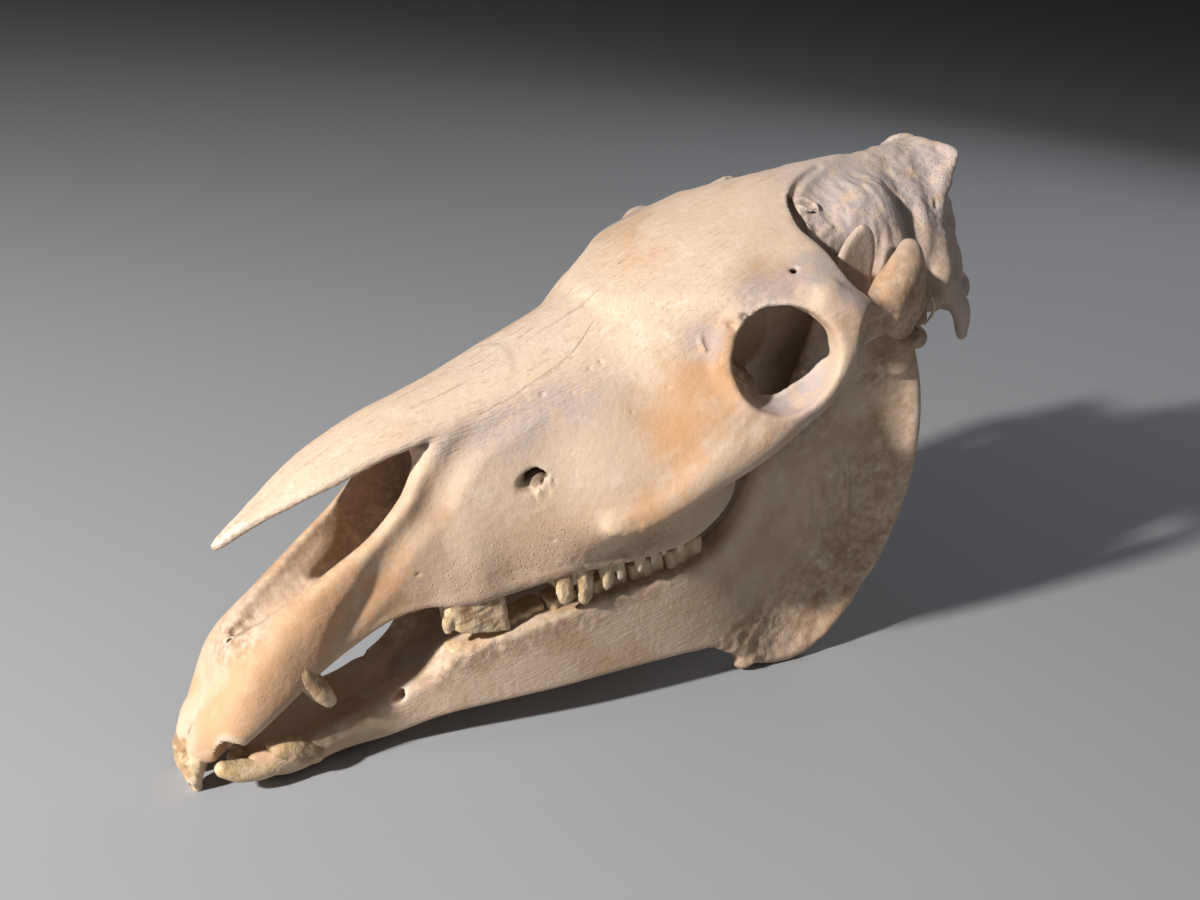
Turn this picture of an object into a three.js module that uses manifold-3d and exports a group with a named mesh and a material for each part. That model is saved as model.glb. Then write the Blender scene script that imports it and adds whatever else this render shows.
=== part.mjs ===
// A life-size horse skull with its lower jaw closed, resting on a flat surface.
//
// The bones are smooth solid fields: sections lofted along the head, tubes swept along curves and
// plates cut to an outline, blended together and hollowed. Each field is meshed with marching cubes,
// thinned to a few thousand triangles, levelled where it stands and parted into its named bones.
//
// Millimetres. Skull frame: +X towards the muzzle, +Y to the animal's left, +Z up, with the origin
// under the nuchal crest at the height of the upper cheek-tooth sockets.
import * as THREE from "three";
import { edgeTable, triTable } from "three/addons/objects/MarchingCubes.js";
import { mergeVertices } from "three/addons/utils/BufferGeometryUtils.js";
import Module from "manifold-3d";

const wasm = await Module();
wasm.setup();

// ---------------------------------------------------------------- driving sizes

const FLAT_DEPTH = 1.2; // depth of the small flats at the jaw's lowest points
const SAW_GAP = 0.5; // width of the cuts that part the bones
const GRID = 3.6; // spacing of the meshing grid
const CRANIUM_TRIANGLES = 3900;
const MANDIBLE_TRIANGLES = 1250;

// Height of the top of the head along the midline, [x, z].
const ROOF = [
  [0, 150], [8, 152], [32, 156], [70, 160], [100, 162], [130, 161], [165, 157], [200, 152], [227, 146],
  [253, 139], [285, 131], [326, 120.5], [366, 114.5], [396, 112], [420, 107.5], [445, 100.5], [470, 91],
  [498, 80],
];

const bone = new THREE.MeshStandardMaterial({ color: 0xd9c3a0, roughness: 0.62, metalness: 0 });

// ---------------------------------------------------------------- field tools

const { clamp, lerp, smoothstep } = THREE.MathUtils;

/** Catmull-Rom value at x of a table whose rows start with x. */
function along(table, x, column = 1) {
  const last = table.length - 1;
  if (x <= table[0][0]) return table[0][column];
  if (x >= table[last][0]) return table[last][column];
  let i = 0;
  while (x > table[i + 1][0]) i++;
  const row = (k) => table[clamp(k, 0, last)];
  const [a, b, c, d] = [row(i - 1), row(i), row(i + 1), row(i + 2)];
  const span = c[0] - b[0];
  const t = (x - b[0]) / span;
  const slopeIn = ((c[column] - a[column]) / Math.max(c[0] - a[0], 1)) * span;
  const slopeOut = ((d[column] - b[column]) / Math.max(d[0] - b[0], 1)) * span;
  const t2 = t * t;
  const t3 = t2 * t;
  return (2 * t3 - 3 * t2 + 1) * b[column] + (t3 - 2 * t2 + t) * slopeIn
    + (3 * t2 - 2 * t3) * c[column] + (t3 - t2) * slopeOut;
}

/** Smooth union, and its opposite for smooth cuts. */
function blend(a, b, k) {
  const h = Math.max(k - Math.abs(a - b), 0) / k;
  return Math.min(a, b) - (h * h * k) / 4;
}
const carve = (a, b, k) => -blend(-a, b, k);

function ellipsoid(p, [cx, cy, cz], [rx, ry, rz]) {
  const x = p.x - cx;
  const y = p.y - cy;
  const z = p.z - cz;
  const k0 = Math.hypot(x / rx, y / ry, z / rz);
  const k1 = Math.hypot(x / (rx * rx), y / (ry * ry), z / (rz * rz));
  return k1 < 1e-9 ? -Math.min(rx, ry, rz) : (k0 * (k0 - 1)) / k1;
}

/** A swept tube: stations [x, y, z, radius] on a smooth curve. `squash` flattens it along an axis. */
function tube(stations, squash = [1, 1, 1], steps = 4) {
  const scale = new THREE.Vector3(...squash);
  const places = stations.map(([x, y, z]) => new THREE.Vector3(x, y, z).multiply(scale));
  const curve = new THREE.CatmullRomCurve3(places);
  const count = (stations.length - 1) * steps;
  const radii = stations.map((s, i) => [i, s[3]]);
  const knots = Array.from({ length: count + 1 }, (_, i) => {
    const at = curve.getPoint(i / count);
    return [at.x, at.y, at.z, along(radii, i / steps)];
  });
  const reach = Math.max(...squash);
  return (p) => {
    const x = p.x * scale.x;
    const y = p.y * scale.y;
    const z = p.z * scale.z;
    let best = Infinity;
    for (let i = 0; i < count; i++) {
      const a = knots[i];
      const b = knots[i + 1];
      const dx = b[0] - a[0];
      const dy = b[1] - a[1];
      const dz = b[2] - a[2];
      const onAxis = (x - a[0]) * dx + (y - a[1]) * dy + (z - a[2]) * dz;
      const t = clamp(onAxis / (dx * dx + dy * dy + dz * dz), 0, 1);
      const far = Math.hypot(x - a[0] - t * dx, y - a[1] - t * dy, z - a[2] - t * dz);
      best = Math.min(best, far - lerp(a[3], b[3], t));
    }
    return best / reach;
  };
}

/** Signed distance in the plane to a closed outline, negative inside. */
function outline(points, steps = 4) {
  const curve = new THREE.CatmullRomCurve3(points.map(([u, v]) => new THREE.Vector3(u, v, 0)), true);
  const rim = curve.getPoints(points.length * steps).slice(0, -1);
  return (u, v) => {
    let best = Infinity;
    let inside = false;
    for (let i = 0, j = rim.length - 1; i < rim.length; j = i++) {
      const a = rim[j];
      const b = rim[i];
      const dx = b.x - a.x;
      const dy = b.y - a.y;
      const t = clamp(((u - a.x) * dx + (v - a.y) * dy) / (dx * dx + dy * dy || 1), 0, 1);
      best = Math.min(best, Math.hypot(u - a.x - t * dx, v - a.y - t * dy));
      if (a.y > v !== b.y > v && u < a.x + ((v - a.y) / (b.y - a.y)) * dx) inside = !inside;
    }
    return inside ? -best : best;
  };
}

/** A loft through sections {x, ring}: rings run in (y, z) from the roof round one side to the floor. */
function loft(sections, steps = 4) {
  const tables = sections[0].ring.map((_, i) => sections.map((s) => [s.x, ...s.ring[i]]));
  const first = sections[0].x;
  const last = sections[sections.length - 1].x;
  const slices = new Map();
  const slice = (x) => {
    if (!slices.has(x)) {
      const half = tables.map((t) => new THREE.Vector3(along(t, x, 1), along(t, x, 2), 0));
      const mirrored = half.slice(1, -1).reverse().map((v) => new THREE.Vector3(-v.x, v.y, 0));
      const ring = [...half, ...mirrored];
      slices.set(x, outline(ring.map((v) => [v.x, v.y]), steps));
    }
    return slices.get(x);
  };
  return (p) => {
    const inPlane = slice(clamp(p.x, first, last))(p.y, p.z);
    return -blend(-inPlane, -Math.max(first - p.x, p.x - last), 6);
  };
}

// ---------------------------------------------------------------- cranium

const roofAt = (x) => along(ROOF, x);

/** One cross-section of the head: shoulder, cheek, crest, tuck and gum are points (y, z) down one side. */
function section(x, shoulder, cheek, crest, tuck, gum, floor, roof = roofAt(x)) {
  return { x, ring: [[0, roof], shoulder, cheek, crest, tuck, gum, [0, floor]] };
}

const headCore = loft([
  section(4, [15, 147], [28, 126], [38, 98], [40, 68], [26, 50], 47),
  section(20, [14, 149], [33, 127], [46, 100], [46, 70], [28, 50], 47),
  section(45, [16, 150], [46, 128], [56, 102], [49, 72], [27, 53], 51),
  section(75, [18, 153], [51, 131], [59, 104], [48, 74], [25, 56], 54),
  section(105, [22, 153], [50, 131], [54, 106], [42, 80], [26, 54], 51),
  section(128, [32, 151], [46, 130], [45, 104], [37, 74], [29, 41], 40),
  section(160, [45, 146], [44, 126], [41, 100], [38, 62], [31, 24], 29),
  section(190, [54, 141], [58, 122], [56, 98], [44, 60], [34, 8], 22),
  section(207, [54, 138], [77, 115], [87, 82], [60, 40], [46, -4], 20),
  section(222, [54, 132], [77, 105], [91, 70], [64, 34], [53, -9], 20),
  section(245, [50, 127], [71, 98], [89, 52], [64, 20], [57, -13], 16),
  section(270, [42, 117], [63, 89], [82, 37], [58, 12], [57, -11], 13),
  section(298, [37, 114], [58, 82], [73, 30], [57, 6], [55, -6], 11),
  section(325, [34, 111], [49, 78], [59, 37], [56, 11], [51, -1], 9),
  section(355, [31, 105], [43, 76], [48, 40], [46, 14], [43, -2], 8),
  section(378, [29, 101], [36, 78], [41, 46], [42, 17], [39, 0], 7),
  section(391, [24, 91], [30, 68], [34, 42], [35, 17], [33, 3], 7),
]);

const muzzle = loft([
  section(370, [26, 92], [35, 68], [41, 38], [42, 14], [39, 0], 7, 92),
  section(389, [27, 88], [33, 66], [38, 38], [39, 14], [37, 2], 7, 89),
  section(405, [28, 72], [33, 57], [35, 36], [33, 14], [31, 6], 7, 73),
  section(425, [27, 58], [31, 46], [30, 28], [28, 13], [27, 6], 7, 58),
  section(448, [24, 48], [28, 37], [28, 19], [27, 6], [25, 0], 3, 48),
  section(474, [21, 36], [28, 26], [31, 9], [30, -3], [26, -7], -2, 37),
  section(492, [17, 28], [28, 21], [33, 6], [33, -9], [27, -14], -8, 30),
  section(512, [14, 15], [27, 9], [33, -7], [32, -19], [25, -24], -16, 18),
  section(528, [12, -8], [23, -11], [28, -21], [26, -29], [19, -33], -25, -7),
  section(540, [9, -26], [15, -27], [18, -30], [17, -34], [12, -36], -33, -25),
]);

const temporalLine = [
  [234, 46], [222, 58], [211, 69], [199, 76], [186, 82], [175, 90], [165, 97], [151, 99],
  [141, 95], [139, 84], [143, 60], [142, 47], [130, 27], [113, 15], [90, 6],
];
const frontalRim = outline([[262, 0], [255, 28], ...temporalLine, [70, 0],
  ...temporalLine.map(([x, y]) => [x, -y]).reverse(), [255, -28]], 3);

/** The broad forehead, a slab that overhangs the eye sockets and ends behind at the temporal lines. */
function forehead(p) {
  const side = Math.abs(p.y);
  const rear = 12 * smoothstep(side, 60, 100) * smoothstep(170 - p.x, 0, 32);
  const top = roofAt(p.x) - 23 * (side / 85) ** 2 - rear;
  const thickness = 13;
  const slab = Math.abs(p.z - (top - thickness / 2)) - thickness / 2;
  return -blend(-frontalRim(p.x, p.y), -slab, 7);
}

const zygomaticArch = tube([
  [303, 71, 31, 4], [290, 76, 31, 5.5], [275, 80, 34, 7], [244, 88, 47, 10], [214, 93, 58, 12],
  [186, 98, 70, 9], [166, 100, 84, 9.5], [146, 99, 100, 12], [124, 92, 104, 14], [104, 84, 108, 15],
  [88, 70, 104, 13], [76, 50, 100, 12],
], [1, 1.9, 1]);

const archHump = tube([[114, 91, 109, 13], [102, 87, 119, 13.5], [94, 83, 126, 10]], [1, 1.4, 1]);
const postorbitalBar = tube([[160, 91, 124, 8], [153, 97, 113, 9], [150, 99, 100, 9]], [1, 1.3, 1]);
const orbitRim = tube([
  [223, 74, 101, 6], [219, 85, 83, 6], [202, 94, 70, 6.5], [186, 97, 71, 6.5], [172, 100, 80, 6],
  [163, 101, 98, 6], [166, 96, 111, 6], [176, 88, 119, 6], [188, 80, 124, 6], [203, 74, 124, 6],
  [216, 71, 115, 6], [223, 74, 101, 6],
]);

const ORBIT_CENTRE = new THREE.Vector3(195, 92, 100);
const ORBIT_OUTWARD = new THREE.Vector3(0.35, 0.9, 0.27).normalize();
const alongOrbit = (depth) => ORBIT_CENTRE.clone().addScaledVector(ORBIT_OUTWARD, depth).toArray();

const orbitCone = tube([
  [...alongOrbit(30), 33], [...alongOrbit(0), 29.5], [...alongOrbit(-10), 30.5], [...alongOrbit(-26), 26],
  [...alongOrbit(-48), 17],
]);

const nasalRim = outline([
  [318, 0], [330, 24], [352, 27], [385, 28], [411, 25], [434, 22], [459, 15], [479, 8], [497, 3],
  [500, 0], [497, -3], [479, -8], [459, -15], [434, -22], [411, -25], [385, -28], [352, -27], [330, -24],
], 3);

/** The pair of nasal bones, ending in a long free spine over the nostrils. */
function nasalBones(p) {
  const thickness = 5.5;
  const top = roofAt(p.x) - 0.009 * p.y * p.y;
  const slab = Math.abs(p.z - (top - thickness / 2)) - thickness / 2;
  return -blend(-nasalRim(p.x, p.y), -slab, 3);
}

const nasalCavity = tube([
  [512, 0, 30, 4], [494, 0, 36, 10], [474, 0, 44, 14.5], [448, 0, 52, 18.5], [425, 0, 60, 21],
  [400, 0, 70, 22], [375, 0, 70, 22], [330, 0, 64, 18], [290, 0, 60, 12],
], [1, 1, 0.72]);

const choana = tube([[190, 0, 8, 17], [222, 0, 18, 19], [248, 0, 26, 17], [274, 0, 32, 10]], [1, 0.9, 1]);

const incisorBone = tube([[520, 9, -14, 10], [530, 9, -20, 10], [538, 8.5, -29, 8]]);

const nasalGroove = tube([
  [462, 37, 6, 5], [452, 35, 15, 7.5], [434, 35.5, 32, 8], [417, 38, 52, 8], [400, 39.5, 63, 8.5],
  [384, 40.5, 81, 9.5], [365, 43, 98, 10], [347, 46, 104, 10], [329, 49, 111, 10], [308, 52, 118, 10],
  [292, 54, 122, 9], [275, 58, 124, 6],
]);
const temporalValley = tube([[38, 20, 160, 7], [43, 33, 153, 10], [47, 46, 143, 11], [52, 58, 126, 9]]);

const nuchalCrest = tube([
  [51, 48, 101, 5], [36, 42, 110, 4.5], [24, 37, 122, 4], [12, 31, 134, 3.5], [-3, 25, 146, 3.2],
  [-2, 14, 148, 3.5], [3, 0, 150, 4], [-2, -14, 148, 3.5],
]);
const nuchalWeb = tube([
  [40, 40, 108, 7], [25, 34, 120, 7], [14, 28, 131, 7], [6, 20, 140, 6.5], [8, 0, 144, 7],
]);

const pairedKnobs = [
  { at: tube([[34, 46, 106, 6], [40, 54, 88, 9]]), k: 8 }, // crest down to the mastoid
  { at: tube([[42, 50, 90, 11], [52, 60, 78, 9]]), k: 8 }, // mastoid and ear region
  { at: tube([[20, 42, 72, 9], [11, 46, 50, 8], [8, 45, 30, 5]], [1, 1.2, 1]), k: 8 }, // paracondylar process
  { at: tube([[12, 20, 56, 14], [-2, 24, 56, 13], [-5, 21, 46, 10]]), k: 6 }, // occipital condyle
  { at: tube([[90, 60, 90, 9], [87, 76, 90, 8]], [1, 1, 1.2]), k: 8 }, // tubercle over the jaw joint
  { at: tube([[68, 60, 82, 7], [66, 64, 70, 5]]), k: 6 }, // retroarticular process
  { at: tube([[222, 24, 18, 5], [196, 25, 16, 5], [168, 22, 32, 5]], [1, 1.5, 0.7]), k: 8 }, // pterygoid wing
];

const foramenMagnum = tube([[-24, 0, 66, 19], [0, 0, 68, 17], [36, 0, 74, 20]]);
const infraorbitalForamen = tube([[350, 51, 66, 7], [335, 46, 70, 6.5], [316, 42, 74, 4.5]]);

function cranium(p) {
  const q = { x: p.x, y: Math.abs(p.y), z: p.z };
  let d = blend(headCore(q), muzzle(q), 4);
  d = blend(d, forehead(q), 9);
  d = blend(d, zygomaticArch(q), 8);
  d = blend(d, archHump(q), 6);
  d = blend(d, postorbitalBar(q), 12);
  d = blend(d, orbitRim(q), 8);
  d = blend(d, incisorBone(q), 6);
  d = blend(d, nuchalWeb(q), 8);
  d = blend(d, nuchalCrest(q), 5);
  for (const { at, k } of pairedKnobs) d = blend(d, at(q), k);
  d = blend(d, ellipsoid(q, [84, 27, 125], [34, 25, 28]), 9);
  d = carve(d, temporalValley(q), 9);
  d = carve(d, nasalGroove(q), 7);
  d = carve(d, orbitCone(q), 3);
  d = carve(d, ellipsoid(q, [112, 64, 116], [26, 16, 60]), 6);
  d = carve(d, ellipsoid(q, [172, 66, 56], [42, 22, 34]), 8);
  d = carve(d, nasalCavity(q), 3);
  d = blend(d, nasalBones(q), 4);
  d = carve(d, choana(q), 4);
  d = carve(d, foramenMagnum(q), 3);
  d = carve(d, infraorbitalForamen(q), 3);
  return d;
}

// ---------------------------------------------------------------- mandible

const jawRim = outline([
  [104, 82], [84, 80], [75, 64], [66, 25], [65, -16], [74, -58], [93, -95], [120, -126], [142, -143],
  [165, -149], [186, -145], [206, -133], [223, -115], [242, -103], [282, -92], [338, -81], [377, -74],
  [407, -70], [450, -70],
  [470, -58], [440, -47], [412, -42], [394, -33], [350, -31], [290, -33], [240, -36], [210, -24], [184, 20],
  [162, 66], [146, 100], [134, 122], [122, 140], [110, 146], [102, 138], [101, 124], [106, 102],
], 3);

const JAW_MIDDLE = [
  [57, 54], [100, 52], [150, 49], [200, 45], [250, 41], [300, 37], [350, 32], [400, 24], [440, 15], [470, 10],
];
const JAW_HALF_WIDTH = [
  [57, 3.6], [140, 3.4], [190, 5], [225, 9], [260, 12], [330, 12.5], [390, 11], [430, 9.5], [470, 9],
];

/** One side of the lower jaw: thick under the teeth and thin, with a stout edge, in the ramus. */
function jawSide(p) {
  const inPlane = jawRim(p.x, p.z);
  const rise = smoothstep(p.z, -140, 110) * 12 * smoothstep(230 - p.x, 0, 80);
  const middle = along(JAW_MIDDLE, p.x) + rise;
  const inRamus = smoothstep(260 - p.x, 0, 90) * smoothstep(90 - p.z, 0, 70);
  const edge = 3.2 * Math.exp(-(((inPlane + 6) / 6) ** 2)) * inRamus;
  const half = (along(JAW_HALF_WIDTH, p.x) + edge) * (1 - 0.3 * smoothstep(p.z, 60, 130));
  return -blend(-inPlane, -(Math.abs(p.y - middle) - half), 5);
}

const condyle = tube([[88, 54, 71, 7.5], [86, 67, 73, 8.5], [85, 80, 69, 7]]);
const condyleNeck = tube([[86, 69, 68, 8], [84, 66, 46, 7]], [1, 1.1, 1]);

const chin = loft([
  { x: 424, ring: [[0, -52], [10, -49], [18, -46], [24, -52], [23, -64], [12, -70], [0, -69]] },
  { x: 450, ring: [[0, -52], [10, -49], [20, -46], [25, -52], [23, -63], [12, -69], [0, -69]] },
  { x: 478, ring: [[0, -50], [12, -47], [24, -44], [28, -50], [25, -61], [13, -68], [0, -69]] },
  { x: 502, ring: [[0, -46], [12, -44], [26, -41], [30, -47], [27, -58], [13, -66], [0, -67]] },
  { x: 520, ring: [[0, -43], [10, -41], [22, -39], [26, -44], [22, -52], [11, -57], [0, -58]] },
]);

const jawTrough = tube([[506, 0, -33, 9], [470, 0, -36, 10], [440, 0, -38, 9], [400, 0, -38, 10]]);

function mandible(p) {
  const q = { x: p.x, y: Math.abs(p.y), z: p.z };
  let d = jawSide(q);
  d = blend(d, condyle(q), 5);
  d = blend(d, condyleNeck(q), 6);
  d = blend(d, chin(q), 8);
  d = carve(d, jawTrough(q), 4);
  return d;
}

// ---------------------------------------------------------------- meshing

/** Marching cubes over a box of the skull frame; returns merged vertex positions and triangle corners. */
function polygonize(field, [lo, hi], step) {
  const n = [0, 1, 2].map((i) => Math.ceil((hi[i] - lo[i]) / step) + 1);
  const values = new Float32Array(n[0] * n[1] * n[2]);
  const index = (i, j, k) => (k * n[1] + j) * n[0] + i;
  for (let i = 0; i < n[0]; i++)
    for (let k = 0; k < n[2]; k++)
      for (let j = 0; j < n[1]; j++)
        values[index(i, j, k)] = field({ x: lo[0] + i * step, y: lo[1] + j * step, z: lo[2] + k * step });
  const corner = [[0, 0, 0], [1, 0, 0], [1, 1, 0], [0, 1, 0], [0, 0, 1], [1, 0, 1], [1, 1, 1], [0, 1, 1]];
  const edges = [
    [0, 1], [1, 2], [2, 3], [3, 0], [4, 5], [5, 6], [6, 7], [7, 4], [0, 4], [1, 5], [2, 6], [3, 7],
  ];
  const position = [];
  for (let k = 0; k < n[2] - 1; k++)
    for (let j = 0; j < n[1] - 1; j++)
      for (let i = 0; i < n[0] - 1; i++) {
        const at = corner.map(([a, b, c]) => values[index(i + a, j + b, k + c)]);
        const bits = at.reduce((sum, v, c) => sum | (v < 0 ? 1 << c : 0), 0);
        if (!edgeTable[bits]) continue;
        for (let t = bits * 16; triTable[t] !== -1; t += 3)
          for (const e of [triTable[t], triTable[t + 2], triTable[t + 1]]) {
            const [a, b] = edges[e];
            const share = clamp(at[a] / (at[a] - at[b]), 0.02, 0.98);
            for (let m = 0; m < 3; m++)
              position.push(lo[m] + step * ([i, j, k][m] + lerp(corner[a][m], corner[b][m], share)));
          }
      }
  const soup = new THREE.BufferGeometry();
  soup.setAttribute("position", new THREE.Float32BufferAttribute(position, 3));
  const merged = mergeVertices(soup, 1e-3);
  return { points: Array.from(merged.attributes.position.array), corners: Array.from(merged.index.array) };
}

/** Thins a closed mesh to `target` triangles by collapsing its cheapest edges, measured by quadric error. */
function thin({ points, corners }, target) {
  const count = points.length / 3;
  const at = (v) => new THREE.Vector3(points[3 * v], points[3 * v + 1], points[3 * v + 2]);
  const position = Array.from({ length: count }, (_, v) => at(v));
  const faces = [];
  const facesOf = Array.from({ length: count }, () => new Set());
  const quadric = Array.from({ length: count }, () => new Float64Array(10));
  const normal = (a, b, c) => b.clone().sub(a).cross(c.clone().sub(a));
  for (let t = 0; t < corners.length; t += 3) {
    const face = [corners[t], corners[t + 1], corners[t + 2]];
    if (face[0] === face[1] || face[1] === face[2] || face[0] === face[2]) continue;
    for (const v of face) facesOf[v].add(faces.length);
    faces.push(face);
    const n = normal(...face.map((v) => position[v]));
    const area = n.length() / 2;
    if (area < 1e-9) continue;
    n.normalize();
    const d = -n.dot(position[face[0]]);
    const k = [n.x, n.y, n.z, d];
    for (const v of face)
      for (let i = 0, m = 0; i < 4; i++)
        for (let j = i; j < 4; j++, m++) quadric[v][m] += area * k[i] * k[j];
  }
  const error = (q, p) => q[0] * p.x * p.x + 2 * q[1] * p.x * p.y + 2 * q[2] * p.x * p.z + 2 * q[3] * p.x
    + q[4] * p.y * p.y + 2 * q[5] * p.y * p.z + 2 * q[6] * p.y + q[7] * p.z * p.z + 2 * q[8] * p.z + q[9];
  const version = new Int32Array(count);
  const heap = [];
  const swap = (i, j) => ([heap[i], heap[j]] = [heap[j], heap[i]]);
  const push = (item) => {
    heap.push(item);
    let i = heap.length - 1;
    while (i > 0 && heap[i].cost < heap[(i - 1) >> 1].cost) {
      swap(i, (i - 1) >> 1);
      i = (i - 1) >> 1;
    }
  };
  const pop = () => {
    const top = heap[0];
    const last = heap.pop();
    if (heap.length) {
      heap[0] = last;
      for (let i = 0; ;) {
        let m = i;
        for (const c of [2 * i + 1, 2 * i + 2])
          if (c < heap.length && heap[c].cost < heap[m].cost) m = c;
        if (m === i) break;
        swap(i, m);
        i = m;
      }
    }
    return top;
  };
  const matrix = new THREE.Matrix3();
  const consider = (a, b) => {
    const q = quadric[a].map((value, i) => value + quadric[b][i]);
    const options = [position[a].clone().lerp(position[b], 0.5), position[a], position[b]];
    matrix.set(q[0], q[1], q[2], q[1], q[4], q[5], q[2], q[5], q[7]);
    if (Math.abs(matrix.determinant()) > 1e-3 * (q[0] + q[4] + q[7]) ** 3) {
      const best = new THREE.Vector3(-q[3], -q[6], -q[8]).applyMatrix3(matrix.clone().invert());
      if (best.distanceTo(options[0]) < 2 * position[a].distanceTo(position[b])) options.push(best);
    }
    const length = position[a].distanceToSquared(position[b]);
    let place = options[0];
    for (const o of options) if (error(q, o) < error(q, place)) place = o;
    const cost = error(q, place) + 0.02 * length;
    push({ cost, a, b, place: place.clone(), va: version[a], vb: version[b] });
  };
  const neighbours = (v) => {
    const near = new Set();
    for (const f of facesOf[v]) for (const w of faces[f]) if (w !== v) near.add(w);
    return near;
  };
  for (let v = 0; v < count; v++) for (const w of neighbours(v)) if (v < w) consider(v, w);
  let alive = faces.length;
  while (alive > target && heap.length) {
    const { a, b, place, va, vb } = pop();
    if (version[a] !== va || version[b] !== vb || !facesOf[a].size || !facesOf[b].size) continue;
    const nearB = neighbours(b);
    if ([...neighbours(a)].filter((v) => nearB.has(v)).length !== 2) continue;
    const shared = [...facesOf[a]].filter((f) => facesOf[b].has(f));
    const flips = [a, b].some((v) => [...facesOf[v]].some((f) => {
      if (shared.includes(f)) return false;
      const before = normal(...faces[f].map((w) => position[w]));
      const after = normal(...faces[f].map((w) => (w === v ? place : position[w])));
      return after.dot(before) < 0.25 * after.length() * before.length() || after.length() < 0.4;
    }));
    if (flips) continue;
    for (const f of shared) for (const v of faces[f]) facesOf[v].delete(f);
    alive -= shared.length;
    for (const f of facesOf[b]) {
      faces[f] = faces[f].map((v) => (v === b ? a : v));
      facesOf[a].add(f);
    }
    facesOf[b].clear();
    position[a].copy(place);
    for (let i = 0; i < 10; i++) quadric[a][i] += quadric[b][i];
    version[a]++;
    version[b]++;
    for (const w of neighbours(a)) consider(a, w);
  }
  const kept = new Map();
  const triangles = [];
  for (const v of facesOf.keys())
    for (const f of facesOf[v]) {
      if (Math.min(...faces[f]) !== v) continue;
      for (const w of faces[f]) {
        if (!kept.has(w)) kept.set(w, kept.size);
        triangles.push(kept.get(w));
      }
    }
  return { points: [...kept.keys()].flatMap((v) => position[v].toArray()), corners: triangles };
}

// ---------------------------------------------------------------- solids

const toSolid = ({ points, corners }) => new wasm.Manifold(new wasm.Mesh({
  numProp: 3, vertProperties: new Float32Array(points), triVerts: new Uint32Array(corners),
}));

/** A three.js geometry as a solid; its doubled vertices are merged first. */
function solidOf(geometry) {
  const bare = new THREE.BufferGeometry();
  const source = geometry.index ? geometry.toNonIndexed() : geometry;
  bare.setAttribute("position", source.attributes.position);
  const merged = mergeVertices(bare, 1e-4);
  return toSolid({ points: merged.attributes.position.array, corners: merged.index.array });
}

/** A prism over a side-view polygon of (x, z) points, running across from y0 to y1. */
function sidePrism(polygon, y0, y1) {
  const shape = new THREE.Shape(polygon.map(([x, z]) => new THREE.Vector2(x, z)));
  const geometry = new THREE.ExtrudeGeometry(shape, { depth: y1 - y0, bevelEnabled: false });
  geometry.rotateX(Math.PI / 2).translate(0, y1, 0);
  return solidOf(geometry);
}

/** Moves the sides of a convex, counter-clockwise polygon out by d. */
function grown(polygon, d) {
  const count = polygon.length;
  const centre = polygon.reduce((c, [x, z]) => [c[0] + x / count, c[1] + z / count], [0, 0]);
  const lines = polygon.map((p, i) => {
    const q = polygon[(i + 1) % polygon.length];
    const length = Math.hypot(q[0] - p[0], q[1] - p[1]);
    const n = [(q[1] - p[1]) / length, (p[0] - q[0]) / length];
    const out = n[0] * (p[0] - centre[0]) + n[1] * (p[1] - centre[1]) > 0 ? 1 : -1;
    return { n: n.map((v) => v * out), c: out * (n[0] * p[0] + n[1] * p[1]) + d };
  });
  return lines.map((b, i) => {
    const a = lines[(i + lines.length - 1) % lines.length];
    const det = a.n[0] * b.n[1] - a.n[1] * b.n[0];
    return [(a.c * b.n[1] - b.c * a.n[1]) / det, (a.n[0] * b.c - b.n[0] * a.c) / det];
  });
}

/** A cheek tooth: a block with three ribs down its cheek side. */
function cheekTooth({ x, y, z }, width) {
  const rim = [
    [-1, -0.8], [-0.8, -1], [0.8, -1], [1, -0.8], [1, 0.85], [0.8, 1.04], [0.55, 0.92], [0.3, 0.9],
    [0, 1.05], [-0.3, 0.9], [-0.55, 0.92], [-0.8, 1.04], [-1, 0.85],
  ].map(([u, v]) => new THREE.Vector2((u * (x[1] - x[0])) / 2, (v * width) / 2));
  const crown = new THREE.ExtrudeGeometry(new THREE.Shape(rim), { depth: z[1] - z[0], bevelEnabled: false });
  return solidOf(crown.translate((x[0] + x[1]) / 2, y, z[0]));
}

/** A curved peg, for incisors and canines: stations [x, y, z, radius across, radius deep]. */
function peg(stations, sides = 8) {
  const curve = new THREE.CatmullRomCurve3(stations.map((s) => new THREE.Vector3(s[0], s[1], s[2])));
  const points = [];
  const corners = [];
  stations.forEach((s, i) => {
    const t = curve.getTangent(i / (stations.length - 1));
    const across = new THREE.Vector3(0, 1, 0).addScaledVector(t, -t.y).normalize();
    const deep = new THREE.Vector3().crossVectors(t, across);
    for (let k = 0; k < sides; k++) {
      const a = (k / sides) * 2 * Math.PI;
      const p = new THREE.Vector3(s[0], s[1], s[2])
        .addScaledVector(across, Math.cos(a) * s[3]).addScaledVector(deep, Math.sin(a) * s[4]);
      points.push(...p.toArray());
      const next = (k + 1) % sides;
      if (i === 0) continue;
      const here = i * sides;
      const before = here - sides;
      corners.push(before + k, before + next, here + k, here + k, before + next, here + next);
    }
  });
  const last = (stations.length - 1) * sides;
  for (let k = 1; k < sides - 1; k++) corners.push(0, k + 1, k, last, last + k, last + k + 1);
  const solid = toSolid({ points, corners });
  if (solid.volume() > 0) return solid;
  return toSolid({ points, corners: corners.map((_, i) => corners[i - (i % 3) + [0, 2, 1][i % 3]]) });
}

const mirrored = (solid) => solid.mirror([0, 1, 0]);
const bothSides = (solids) => solids.flatMap((s) => [s, mirrored(s)]);

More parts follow.
